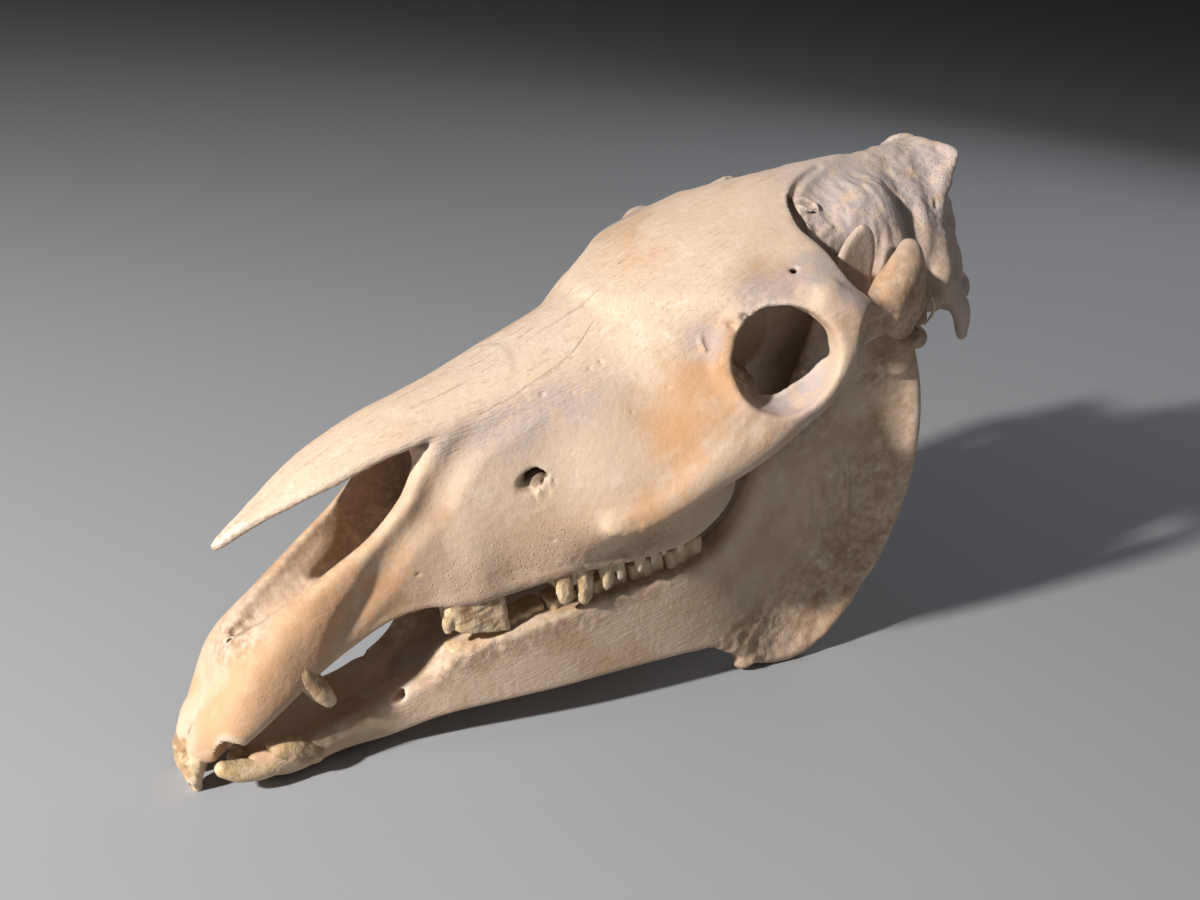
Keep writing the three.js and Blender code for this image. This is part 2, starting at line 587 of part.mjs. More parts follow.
const upperCheekTeeth = [
  { x: [362, 395], y: 28, z: [-25, 8] },
  { x: [334, 360], y: 35, z: [-7, 12] },
  { x: [306, 332], y: 41, z: [-23, 12] },
  { x: [280, 304], y: 44, z: [-22, 12] },
  { x: [255, 278], y: 45, z: [-21, 10] },
  { x: [229, 253], y: 45, z: [-20, 8] },
].map((t) => cheekTooth(t, 23));

const lowerCheekTeeth = [
  { x: [366, 397], y: 26.5, z: [-50, -26] },
  { x: [337, 361], y: 31, z: [-50, -24] },
  { x: [309, 335], y: 35.5, z: [-52, -25] },
  { x: [283, 307], y: 38, z: [-54, -24] },
  { x: [258, 281], y: 40.5, z: [-55, -23] },
  { x: [230, 256], y: 42, z: [-55, -23] },
].map((t) => cheekTooth(t, 15));

const upperCanine = peg([
  [482, 26, 6, 5, 6], [478, 27, -6, 5, 6], [474, 28, -17, 4, 5], [471, 28, -25, 2, 2.5],
]);
const upperIncisor = peg([
  [530, 8, -22, 6.5, 5], [540, 8, -34, 7, 5.5], [545, 8, -45, 6.5, 4.5], [546, 8, -52, 4.5, 2.5],
]);
const lowerCanine = peg([[494, 24, -52, 5, 5], [503, 25.5, -43, 4.5, 4.5], [508, 26, -35, 2.5, 2.5]]);
const lowerIncisors = [
  peg([[500, 21, -53, 6, 5], [516, 23, -51, 6.5, 5.5], [528, 23, -46, 6, 4.5], [535, 22.5, -40, 4.5, 2.5]]),
  peg([[500, 9, -53, 6, 5], [514, 9, -52, 6.5, 5.5], [524, 9, -48, 5, 3.5]]),
];

/** Meshes the left half of a field, thins it and joins it to its mirror image. */
function symmetric(field, [lo, hi], triangles) {
  const half = (p) => Math.max(field(p), -p.y - 1.5 * GRID);
  const skin = polygonize(half, [[lo[0], -2.5 * GRID, lo[1]], [hi[0], 120, hi[1]]], GRID);
  const side = toSolid(thin(skin, triangles / 2));
  const right = solidOf(new THREE.BoxGeometry(800, 100, 800).translate(250, -50, 0));
  const left = side.subtract(right);
  return left.add(mirrored(left));
}

const headBone = symmetric(cranium, [[-28, -50], [564, 180]], CRANIUM_TRIANGLES);
const jawBone = symmetric(mandible, [[40, -190], [548, 170]], MANDIBLE_TRIANGLES);
const head = wasm.Manifold.union([headBone, ...bothSides([...upperCheekTeeth, upperCanine, upperIncisor])]);
const jaw = wasm.Manifold.union([jawBone, ...bothSides([...lowerCheekTeeth, lowerCanine, ...lowerIncisors])]);

// ---------------------------------------------------------------- resting pose

/** The head leans until the angles of the jaw and its chin reach the same level. */
function lowest(vertices, angle, from, to) {
  let low = Infinity;
  for (let i = 0; i < vertices.length; i += 3)
    if (vertices[i] > from && vertices[i] < to)
      low = Math.min(low, vertices[i + 2] * Math.cos(angle) - vertices[i] * Math.sin(angle));
  return low;
}
const jawPoints = jaw.getMesh().vertProperties;
let lean = [0, 0.6];
while (lean[1] - lean[0] > 1e-5) {
  const middle = (lean[0] + lean[1]) / 2;
  const noseHigh = lowest(jawPoints, middle, 380, 600) > lowest(jawPoints, middle, 0, 300);
  lean = noseHigh ? [middle, lean[1]] : [lean[0], middle];
}
const PITCH = lean[0];
const table = lowest(jawPoints, PITCH, 0, 600) + FLAT_DEPTH;

// ---------------------------------------------------------------- parting

/** Splits a solid by a prism, leaving a saw cut between the two. */
function part(solid, polygon, y0, y1) {
  const half = SAW_GAP / 2;
  const inside = solid.intersect(sidePrism(grown(polygon, -half), y0 + half, y1 - half));
  const outside = solid.subtract(sidePrism(grown(polygon, half), y0 - half, y1 + half));
  return [inside, outside];
}

const named = {};
let rest = head;
const incisiveSide = [[600, -80], [600, 64], [436, 66], [452, -80]];
[named.incisive_bone, rest] = part(rest, incisiveSide, -70, 70);
const nasalSide = [[254, 127], [520, 68], [520, 120], [300, 175], [254, 175]];
[named.nasal_bones, rest] = part(rest, nasalSide, -26.5, 26.5);
const archSide = [[222, 20], [222, 88], [160, 121], [118, 121], [112, 160], [78, 160], [78, 60]];
[named.zygomatic_arch_left, rest] = part(rest, archSide, 66, 130);
[named.zygomatic_arch_right, rest] = part(rest, archSide, -130, -66);
const braincaseSide = [[-60, 0], [172, 0], [166, 110], [140, 200], [-60, 200]];
[named.braincase, named.face] = part(rest, braincaseSide, -130, 130);
let jawRest = jaw;
const ramusSide = [[20, -200], [214, -200], [214, 200], [20, 200]];
[named.mandible_ramus_left, jawRest] = part(jawRest, ramusSide, 2, 140);
[named.mandible_ramus_right, named.mandible_body] = part(jawRest, ramusSide, -140, -2);

const level = (solid) => {
  const turned = solid.rotate([0, THREE.MathUtils.radToDeg(PITCH), 0]);
  return turned.trimByPlane([0, 0, 1], table);
};
const placed = Object.entries(named).map(([name, solid]) => {
  const [body] = level(solid).decompose().sort((a, b) => b.volume() - a.volume());
  return { name, solid: body };
});
const box = new THREE.Box3();
for (const { solid } of placed) {
  const { min, max } = solid.boundingBox();
  box.expandByPoint(new THREE.Vector3(...min)).expandByPoint(new THREE.Vector3(...max));
}
const centre = box.getCenter(new THREE.Vector3());
const shift = [-centre.x, -centre.y, -table];

const group = new THREE.Group();
group.name = "horse_skull";
for (const { name, solid } of placed) {
  const mesh = solid.translate(shift).getMesh();
  const geometry = new THREE.BufferGeometry();
  geometry.setAttribute("position", new THREE.BufferAttribute(new Float32Array(mesh.vertProperties), 3));
  geometry.setIndex(Array.from(mesh.triVerts));
  geometry.computeVertexNormals();
  const bonePart = new THREE.Mesh(geometry, bone);
  bonePart.name = name;
  group.add(bonePart);
}
export default group;
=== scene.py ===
"""A dry horse skull: one skin for the cranium, one for the lower jaw, and the teeth as pieces of their own.

Shapes are worked out in the skull's own frame, in millimetres: +X towards the muzzle, +Y to the
animal's left, +Z up. They repeat the named sizes of the solids, with the finer relief added, and are
turned and moved into the row's frame, in metres, as the last step.
"""

import math

import bpy
import numpy as np
from mathutils import Matrix, Vector


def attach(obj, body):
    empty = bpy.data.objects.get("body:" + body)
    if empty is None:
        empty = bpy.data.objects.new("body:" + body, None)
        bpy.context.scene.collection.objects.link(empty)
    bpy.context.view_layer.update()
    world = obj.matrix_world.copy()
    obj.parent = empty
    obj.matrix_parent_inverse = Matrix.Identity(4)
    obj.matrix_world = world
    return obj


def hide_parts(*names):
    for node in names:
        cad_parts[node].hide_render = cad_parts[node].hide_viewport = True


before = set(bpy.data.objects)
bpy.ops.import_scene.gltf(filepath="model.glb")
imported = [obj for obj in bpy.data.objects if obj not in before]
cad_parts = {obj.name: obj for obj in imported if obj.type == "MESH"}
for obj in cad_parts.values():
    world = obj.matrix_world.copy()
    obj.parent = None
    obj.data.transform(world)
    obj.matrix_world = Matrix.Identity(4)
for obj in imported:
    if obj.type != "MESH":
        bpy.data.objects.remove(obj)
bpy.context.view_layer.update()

# ------------------------------------------------------------------ driving sizes (mm)

PITCH = math.radians(14.127410)  # lean of the head as it rests on its jaw
SHIFT = np.array([-259.457, 0.0, 185.788])  # from the leaning skull frame to the row's frame
SKIN_GRID = 1.25  # spacing of the grid that the two skins are meshed on
TOOTH_GRID = 0.75
FAR = 40.0  # field value given to what lies far outside
LOFT_BAND = 9  # how far from its skin a loft's field is exact
LOFT_END = 6  # rounding of a loft's ends
START_MARGIN = 24  # how far round the first shape of a skin its field is worked out
TOOTH_MARGIN = 5  # the same for a tooth

ROOF = [  # height of the head's midline by x
    [0, 150], [8, 152], [32, 156], [70, 160], [100, 162], [130, 161], [165, 157], [200, 152], [227, 146],
    [253, 139], [285, 131], [326, 120.5], [366, 114.5], [396, 112], [420, 107.5], [445, 100.5], [470, 91],
    [498, 80],
]

# ------------------------------------------------------------------ field tools


def smoothstep(x, low, high):
    t = np.clip((x - low) / (high - low), 0, 1)
    return t * t * (3 - 2 * t)


def along(table, x, column=1):
    """Catmull-Rom value at x of a table whose rows start with x."""
    rows = np.asarray(table, float)
    xs, values = rows[:, 0], rows[:, column]
    slope = np.empty(len(xs))
    slope[1:-1] = (values[2:] - values[:-2]) / (xs[2:] - xs[:-2])
    slope[0] = (values[1] - values[0]) / (xs[1] - xs[0])
    slope[-1] = (values[-1] - values[-2]) / (xs[-1] - xs[-2])
    x = np.clip(x, xs[0], xs[-1])
    i = np.clip(np.searchsorted(xs, x, side="right") - 1, 0, len(xs) - 2)
    span = xs[i + 1] - xs[i]
    t = (x - xs[i]) / span
    t2, t3 = t * t, t * t * t
    return ((2 * t3 - 3 * t2 + 1) * values[i] + (t3 - 2 * t2 + t) * span * slope[i]
            + (3 * t2 - 2 * t3) * values[i + 1] + (t3 - t2) * span * slope[i + 1])


def smooth_curve(points, steps, closed=False):
    """Points of a centripetal Catmull-Rom curve through `points`, `steps` to a span."""
    p = np.asarray(points, float)
    if closed:
        p = np.vstack([p[-1], p, p[0], p[1]])
    else:
        p = np.vstack([2 * p[0] - p[1], p, 2 * p[-1] - p[-2]])
    out = []
    for a, b, c, d in zip(p[:-3], p[1:-2], p[2:-1], p[3:]):
        da, db, dc = (max(np.sum((v - u) ** 2) ** 0.25, 1e-4) for u, v in ((a, b), (b, c), (c, d)))
        m1 = ((b - a) / da - (c - a) / (da + db) + (c - b) / db) * db
        m2 = ((c - b) / db - (d - b) / (db + dc) + (d - c) / dc) * db
        for t in np.arange(steps) / steps:
            out.append((2 * t ** 3 - 3 * t ** 2 + 1) * b + (t ** 3 - 2 * t ** 2 + t) * m1
                       + (3 * t ** 2 - 2 * t ** 3) * c + (t ** 3 - t ** 2) * m2)
    if not closed:
        out.append(p[-2])
    return np.array(out)


def blend(a, b, k):
    """Smooth union of two fields."""
    h = np.maximum(k - np.abs(a - b), 0) / k
    return np.minimum(a, b) - h * h * k / 4


def carve(a, b, k):
    """Smooth intersection of two fields."""
    return -blend(-a, -b, k)


def mirrored(stations, side):
    """The same stations on the left (side 1) or on the right (side -1)."""
    return [[x, side * y, *rest] for x, y, *rest in stations]


def polygon_distance(rim, u, v):
    """Signed distance to a closed polygon, negative inside."""
    best = np.full(u.shape, np.inf, np.float32)
    inside = np.zeros(u.shape, bool)
    for a, b in zip(np.roll(rim, 1, axis=0), rim):
        du, dv = b - a
        t = np.clip(((u - a[0]) * du + (v - a[1]) * dv) / max(du * du + dv * dv, 1e-9), 0, 1)
        best = np.minimum(best, (u - a[0] - t * du) ** 2 + (v - a[1] - t * dv) ** 2)
        if a[1] != b[1]:
            inside ^= ((a[1] > v) != (b[1] > v)) & (u < a[0] + (v - a[1]) / dv * du)
    best = np.sqrt(best)
    return np.where(inside, -best, best)


def plan_distance(rim, x, y):
    """Distance from a rim that is drawn in plan, the same at every height."""
    return polygon_distance(rim, *np.broadcast_arrays(x[:, :, 0], y[:, :, 0]))[:, :, None]


def plate(rim, x, y, z, top, thickness, k):
    """A plate whose upper face is at the height `top`, cut to a rim drawn in plan."""
    return carve(plan_distance(rim, x, y), np.abs(z - (top - thickness / 2)) - thickness / 2, k)


class Shape:
    """A field with the box that holds its surface; `at` takes x, y and z arrays that broadcast."""

    def __init__(self, low, high, at):
        self.low, self.high, self.at = np.array(low, float), np.array(high, float), at


def ellipsoid(centre, radii):
    c, r = np.array(centre, float), np.array(radii, float)

    def at(x, y, z):
        x, y, z = x - c[0], y - c[1], z - c[2]
        k0 = np.sqrt((x / r[0]) ** 2 + (y / r[1]) ** 2 + (z / r[2]) ** 2)
        k1 = np.sqrt((x / r[0] ** 2) ** 2 + (y / r[1] ** 2) ** 2 + (z / r[2] ** 2) ** 2)
        return k0 * (k0 - 1) / np.maximum(k1, 1e-9)

    return Shape(c - r, c + r, at)


def tube(stations, squash=(1, 1, 1), steps=5):
    """A swept tube: stations [x, y, z, radius] on a smooth curve. `squash` flattens it along an axis."""
    s = np.asarray(stations, float)
    scale = np.array(squash, float)
    knots = smooth_curve(s[:, :3] * scale, steps)
    radii = along(np.column_stack([np.arange(len(s)), s[:, 3]]), np.arange(len(knots)) / steps)
    reach = max(squash)

    def at(x, y, z):
        x, y, z = x * scale[0], y * scale[1], z * scale[2]
        best = None
        for a, b, ra, rb in zip(knots[:-1], knots[1:], radii[:-1], radii[1:]):
            d = b - a
            u, v, w = x - a[0], y - a[1], z - a[2]
            t = np.clip((u * d[0] + v * d[1] + w * d[2]) / max(d @ d, 1e-9), 0, 1)
            far = np.sqrt((u - t * d[0]) ** 2 + (v - t * d[1]) ** 2 + (w - t * d[2]) ** 2)
            far = far - (ra + (rb - ra) * t)
            best = far if best is None else np.minimum(best, far)
        return best / reach

    reach_out = radii[:, None] / scale
    return Shape((knots / scale - reach_out).min(0), (knots / scale + reach_out).max(0), at)


def loft(sections, steps=6):
    """Cross-sections {x, ring}: rings run in (y, z) from the roof's midline round one side to the floor's."""
    xs = np.array([s["x"] for s in sections], float)
    rings = np.array([s["ring"] for s in sections], float)

    def slice_at(x):
        half_ring = np.array([[along(np.column_stack([xs, rings[:, i, m]]), np.array([x]))[0] for m in (0, 1)]
                              for i in range(rings.shape[1])])
        other = half_ring[-2:0:-1] * [-1, 1]
        return smooth_curve(np.vstack([half_ring, other]), steps, closed=True)

    def at(x, y, z):
        out = np.full(np.broadcast(x, y, z).shape, FAR, np.float32)
        for i, here in enumerate(x[:, 0, 0]):
            rim = slice_at(np.clip(here, xs[0], xs[-1]))
            v, w = (np.broadcast_to(a[0], out.shape[1:]) for a in (y, z))
            coarse = polygon_distance(rim, v[::4, ::4], w[::4, ::4])
            rough = np.repeat(np.repeat(coarse, 4, 0), 4, 1)[:v.shape[0], :v.shape[1]]
            near = np.abs(rough) < LOFT_BAND
            rough[near] = polygon_distance(rim, v[near], w[near])
            out[i] = carve(rough, max(xs[0] - here, here - xs[-1]), LOFT_END)
        return out

    low = [xs[0], 0, rings[:, :, 1].min()]
    high = [xs[-1], rings[:, :, 0].max(), rings[:, :, 1].max()]
    return Shape(low, high, at)


# ------------------------------------------------------------------ noise


def hashed(i, j, k, seed):
    """A repeatable number from 0 to 1 for each grid corner."""
    h = (i * 374761393 + j * 668265263 + k * 2147483647 + seed * 1274126177) & 0xFFFFFFFF
    h = ((h ^ (h >> 13)) * 1103515245) & 0xFFFFFFFF
    h = ((h ^ (h >> 16)) * 2654435761) & 0xFFFFFFFF
    return ((h ^ (h >> 15)) & 0xFFFFFF) / float(0xFFFFFF)


CORNERS = [(a, b, c) for a in (0, 1) for b in (0, 1) for c in (0, 1)]


def share(f, a, b, c):
    """Weight of one corner of a cell at the fractions f along its sides."""
    u, v, w = (f[:, m] if corner else 1 - f[:, m] for m, corner in enumerate((a, b, c)))
    return u * v * w


def noise(p, size, seed=0):
    """Smooth value noise from -1 to 1 at the rows of p; `size` is the width of its features."""
    q = p / size + 1000
    corner = np.floor(q).astype(np.int64)
    f = q - corner
    w = f * f * f * (f * (f * 6 - 15) + 10)
    total = 0
    for a, b, c in CORNERS:
        total = total + share(w, a, b, c) * hashed(corner[:, 0] + a, corner[:, 1] + b, corner[:, 2] + c, seed)
    return total * 2 - 1


def fractal(p, size, octaves=3, seed=0):
    """Layers of noise, each half as wide and half as strong as the one before."""
    layers = (noise(p, size / 2 ** o, seed + 31 * o) / 2 ** o for o in range(octaves))
    return sum(layers) / (2 - 2 ** (1 - octaves))


SOFT_EDGE = 0.35  # soft border of a patch, in parts of its radii
MASK_EDGE = 0.6  # the same for a colour mask
RELIEF_BAND = 6  # relief is added to the field this near to the surface


def within(p, centre, radii, soft=SOFT_EDGE):
    """1 inside an ellipsoid and 0 outside, over a soft edge."""
    far = np.sqrt((((p - np.array(centre, float)) / np.array(radii, float)) ** 2).sum(axis=1))
    return 1 - smoothstep(far, 1 - soft, 1 + soft)


def chain_distance(points, p):
    """Distance from the rows of p to an open chain of points."""
    best = np.full(len(p), np.inf)
    knots = smooth_curve(points, 4)
    for a, b in zip(knots[:-1], knots[1:]):
        d = b - a
        t = np.clip((p - a) @ d / max(d @ d, 1e-9), 0, 1)
        best = np.minimum(best, ((p - a - t[:, None] * d) ** 2).sum(axis=1))
    return np.sqrt(best)


# ------------------------------------------------------------------ volumes and meshes


class Volume:
    """A grid of field values. With `mirror` it is built for y >= 0 and mirrored before it is meshed."""

    def __init__(self, low, high, step, mirror=False):
        self.step = step
        self.low = np.array(low, float)
        if mirror:
            self.low[1] = 0.0
        count = np.ceil((np.array(high) - self.low) / step).astype(int) + 1
        self.axes = [self.low[m] + step * np.arange(count[m]) for m in range(3)]
        self.values = np.full(count, FAR, np.float32)

    def window(self, shape, margin):
        first = np.floor((shape.low - margin - self.low) / self.step).astype(int)
        last = np.ceil((shape.high + margin - self.low) / self.step).astype(int) + 1
        return tuple(slice(max(a, 0), max(min(b, n), 0)) for a, b, n in zip(first, last, self.values.shape))

    def apply(self, shape, rule, margin):
        window = self.window(shape, margin)
        if any(w.stop <= w.start for w in window):
            return
        x, y, z = (axis[w] for axis, w in zip(self.axes, window))
        field = shape.at(x[:, None, None], y[None, :, None], z[None, None, :])
        self.values[window] = rule(self.values[window], field)

    def fill(self, shape, margin):
        """Starts the volume with a shape's own field."""
        self.apply(shape, lambda old, new: new, margin)

    def add(self, shape, k):
        self.apply(shape, lambda old, new: blend(old, new, k), k + 6)

    def cut(self, shape, k):
        self.apply(shape, lambda old, new: carve(old, -new, k), k + 6)

    def roughen(self, centre, radii, size, depth, seed=0, stretch=(1, 1, 1)):
        """Adds noise to the field within an ellipsoid, near the surface."""
        c, r = np.array(centre, float), np.array(radii, float)
        reach = (1 + SOFT_EDGE) * r
        window = self.window(Shape(c - reach, c + reach, None), 0)
        grid = np.stack(np.meshgrid(*(axis[w] for axis, w in zip(self.axes, window)), indexing="ij"), axis=-1)
        values = self.values[window]
        near = np.abs(values) < RELIEF_BAND
        p = grid[near]
        values[near] += depth * fractal(p / np.array(stretch, float), size, seed=seed) * within(p, c, r)

    def sample(self, p):
        """Field values at the rows of p."""
        q = np.clip((p - self.low) / self.step, 0, np.array(self.values.shape) - 1.001)
        i = q.astype(int)
        f = q - i
        total = 0
        for a, b, c in CORNERS:
            total = total + share(f, a, b, c) * self.values[i[:, 0] + a, i[:, 1] + b, i[:, 2] + c]
        return total

    def unfold(self):
        """Adds the mirror image below y = 0."""
        self.values = np.concatenate([self.values[:, :0:-1], self.values], axis=1)
        self.axes[1] = np.concatenate([-self.axes[1][:0:-1], self.axes[1]])
        self.low[1] = self.axes[1][0]

    def surface(self):
        """Surface nets: one vertex in each cell that the surface crosses; returns vertices and quads."""
        v = self.values
        inside = v < 0
        cells = np.zeros(np.array(v.shape) - 1, np.uint8)
        for a, b, c in CORNERS:
            cells += inside[a:v.shape[0] - 1 + a, b:v.shape[1] - 1 + b, c:v.shape[2] - 1 + c]
        crossed = (cells > 0) & (cells < 8)
        index = np.full(cells.shape, -1, np.int64)
        index[crossed] = np.arange(crossed.sum())
        base = np.argwhere(crossed)
        total = np.zeros((len(base), 3))
        hits = np.zeros(len(base))
        for axis in range(3):
            others = [m for m in range(3) if m != axis]
            for a in (0, 1):
                for b in (0, 1):
                    start = base.copy()
                    start[:, others[0]] += a
                    start[:, others[1]] += b
                    end = start.copy()
                    end[:, axis] += 1
                    va, vb = v[tuple(start.T)], v[tuple(end.T)]
                    cross = (va < 0) != (vb < 0)
                    t = np.where(cross, va / np.where(cross, va - vb, 1), 0)
                    spot = start.astype(float)
                    spot[:, axis] += t
                    total += spot * cross[:, None]
                    hits += cross
        points = self.low + self.step * total / hits[:, None]
        quads = []
        for axis in range(3):
            o1, o2 = [(1, 2), (2, 0), (0, 1)][axis]
            n = list(v.shape)
            core = [slice(1, n[m] - 1) for m in range(3)]
            core[axis] = slice(0, n[axis] - 1)
            ahead = list(core)
            ahead[axis] = slice(1, n[axis])
            change = inside[tuple(core)].astype(np.int8) - inside[tuple(ahead)].astype(np.int8)
            at = np.argwhere(change != 0) + [core[0].start, core[1].start, core[2].start]
            sign = change[change != 0]

            def cell(da, db):
                spot = at.copy()
                spot[:, o1] -= da
                spot[:, o2] -= db
                return index[tuple(spot.T)]

            ring = np.stack([cell(0, 0), cell(1, 0), cell(1, 1), cell(0, 1)], axis=1)
            ring[sign < 0] = ring[sign < 0][:, ::-1]
            quads.append(ring)
        return points, np.vstack(quads)


def leaned(points):
    """Rows of x, y, z in the skull's frame, turned by its lean."""
    c, s = math.cos(PITCH), math.sin(PITCH)
    x, y, z = points.T
    return np.column_stack([x * c + z * s, y, z * c - x * s])


def to_row(points):
    """Skull frame, mm, to the row's frame, m."""
    return (leaned(points) + SHIFT) / 1000


def normals_of(points, quads):
    """Vertex normals, weighted by the faces' areas."""
    a, b, c, d = (points[quads[:, i]] for i in range(4))
    face = np.cross(c - a, d - b)
    out = np.zeros_like(points)
    for i in range(4):
        for m in range(3):
            out[:, m] += np.bincount(quads[:, i], face[:, m], len(points))
    return out / np.maximum(np.linalg.norm(out, axis=1, keepdims=True), 1e-12)


RELIEF_REACHES = (2.5, 6)


def relief(volume, points, quads):
    """How hollow and how edged the surface is at each vertex, from the field around it."""
    normals = normals_of(points, quads)
    hollow, edge = 0, 0
    for reach in RELIEF_REACHES:
        hollow = hollow + np.clip(1 - volume.sample(points + reach * normals) / reach, 0, 1) / 2
        edge = edge + np.clip(1 + volume.sample(points - reach * normals) / reach, 0, 1) / 2
    return {"hollow": hollow, "edge": edge}


def spread(points, places):
    """Mask made of soft ellipsoids, the same on both sides; a row has centre, radii and strength."""
    p = points * [1, 0, 1] + np.abs(points) * [0, 1, 0]
    mask = np.zeros(len(p))
    for row in places:
        mask = np.maximum(mask, row[6] * within(p, row[:3], row[3:6], MASK_EDGE))
    return mask


def largest_body(points, quads):
    """Drops small loose shells: labels spread along the faces until they settle."""
    label = np.arange(len(points))
    while True:
        low = label[quads].min(axis=1)
        fresh = label.copy()
        for i in range(4):
            np.minimum.at(fresh, quads[:, i], low)
        fresh = np.minimum(fresh, fresh[fresh])
        if np.array_equal(fresh, label):
            break
        label = fresh
    kept = label == np.bincount(label).argmax()
    renumber = np.cumsum(kept) - 1
    return points[kept], renumber[quads[kept[quads[:, 0]]]]


def make_object(name, points, quads, material, replaces=(), attributes=None):
    """A piece of the scene from points in the skull's frame; nothing goes below the floor."""
    placed = to_row(points)
    placed[:, 2] = np.maximum(placed[:, 2], 0.0)
    mesh = bpy.data.meshes.new(name)
    mesh.vertices.add(len(placed))
    mesh.vertices.foreach_set("co", placed.ravel())
    mesh.loops.add(quads.size)
    mesh.loops.foreach_set("vertex_index", quads.ravel())
    mesh.polygons.add(len(quads))
    mesh.polygons.foreach_set("loop_start", np.arange(0, quads.size, 4))
    mesh.polygons.foreach_set("use_smooth", np.ones(len(quads), bool))
    mesh.update(calc_edges=True)
    for key, values in (attributes or {}).items():
        layer = mesh.attributes.new(key, "FLOAT", "POINT")
        layer.data.foreach_set("value", np.asarray(values, np.float32))
    mesh.materials.append(material)
    piece = bpy.data.objects.new(name, mesh)
    bpy.context.collection.objects.link(piece)
    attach(piece, "root")
    if replaces:
        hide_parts(*replaces)
    return piece


# ------------------------------------------------------------------ cranium


def roof_at(x):
    return along(ROOF, x)


def section(x, shoulder, cheek, crest, tuck, gum, floor, roof=None):
    """One cross-section of the head; shoulder, cheek, crest, tuck and gum are (y, z) down one side."""
    top = float(roof_at(np.array([x]))[0]) if roof is None else roof
    return {"x": x, "ring": [[0, top], shoulder, cheek, crest, tuck, gum, [0, floor]]}


HEAD_CORE = loft([
    section(4, [15, 147], [28, 126], [38, 98], [40, 68], [26, 50], 47),
    section(20, [14, 149], [33, 127], [46, 100], [46, 70], [28, 50], 47),
    section(45, [16, 150], [46, 128], [56, 102], [49, 72], [27, 53], 51),
    section(75, [18, 153], [51, 131], [59, 104], [48, 74], [25, 56], 54),
    section(105, [22, 153], [50, 131], [54, 106], [42, 80], [26, 54], 51),
    section(128, [32, 151], [46, 130], [45, 104], [37, 74], [29, 41], 40),
    section(160, [45, 146], [44, 126], [41, 100], [38, 62], [31, 24], 29),
    section(190, [54, 141], [58, 122], [56, 98], [44, 60], [34, 8], 22),
    section(207, [54, 138], [77, 115], [87, 82], [60, 40], [46, -4], 20),
    section(222, [54, 132], [77, 105], [91, 70], [64, 34], [53, -9], 20),
    section(245, [50, 127], [71, 98], [89, 52], [64, 20], [57, -13], 16),
    section(270, [42, 117], [63, 89], [82, 37], [58, 12], [57, -11], 13),
    section(298, [37, 114], [58, 82], [73, 30], [57, 6], [55, -6], 11),
    section(325, [34, 111], [49, 78], [59, 37], [56, 11], [51, -1], 9),
    section(355, [31, 105], [43, 76], [48, 40], [46, 14], [43, -2], 8),
    section(378, [29, 101], [36, 78], [41, 46], [42, 17], [39, 0], 7),
    section(391, [24, 91], [30, 68], [34, 42], [35, 17], [33, 3], 7),
])

MUZZLE = loft([
    section(370, [26, 92], [35, 68], [41, 38], [42, 14], [39, 0], 7, 92),
    section(389, [27, 88], [33, 66], [38, 38], [39, 14], [37, 2], 7, 89),
    section(405, [28, 72], [33, 57], [35, 36], [33, 14], [31, 6], 7, 73),
    section(425, [27, 58], [31, 46], [30, 28], [28, 13], [27, 6], 7, 58),
    section(448, [24, 48], [28, 37], [28, 19], [27, 6], [25, 0], 3, 48),
    section(474, [21, 36], [28, 26], [31, 9], [30, -3], [26, -7], -2, 37),
    section(492, [17, 28], [28, 21], [33, 6], [33, -9], [27, -14], -8, 30),
    section(512, [14, 15], [27, 9], [33, -7], [32, -19], [25, -24], -16, 18),
    section(528, [12, -8], [23, -11], [28, -21], [26, -29], [19, -33], -25, -7),
    section(540, [9, -26], [15, -27], [18, -30], [17, -34], [12, -36], -33, -25),
])

TEMPORAL_LINE = [
    [234, 46], [222, 58], [211, 69], [199, 76], [186, 82], [175, 90], [165, 97], [151, 99], [141, 95],
    [139, 84], [143, 60], [142, 47], [130, 27], [113, 15], [90, 6],
]
FRONTAL_RIM = smooth_curve(
    [[262, 0], [255, 28], *TEMPORAL_LINE, [70, 0], *mirrored(TEMPORAL_LINE[::-1], -1), [255, -28]],
    6, closed=True)
FOREHEAD_THICKNESS = 13
FOREHEAD_DROOP = 23  # how far the slab has come down 85 mm from the midline
FOREHEAD_REAR_DROP = 12  # further drop of its rear corners


def forehead_field(x, y, z):
    """The broad forehead, a slab that overhangs the eye sockets and ends behind at the temporal lines."""
    side = np.abs(y)
    rear = FOREHEAD_REAR_DROP * smoothstep(side, 60, 100) * (1 - smoothstep(x, 138, 170))
    top = roof_at(x) - FOREHEAD_DROOP * (side / 85) ** 2 - rear
    return plate(FRONTAL_RIM, x, y, z, top, FOREHEAD_THICKNESS, 7)


FOREHEAD = Shape([62, 0, 90], [262, 102, 164], forehead_field)

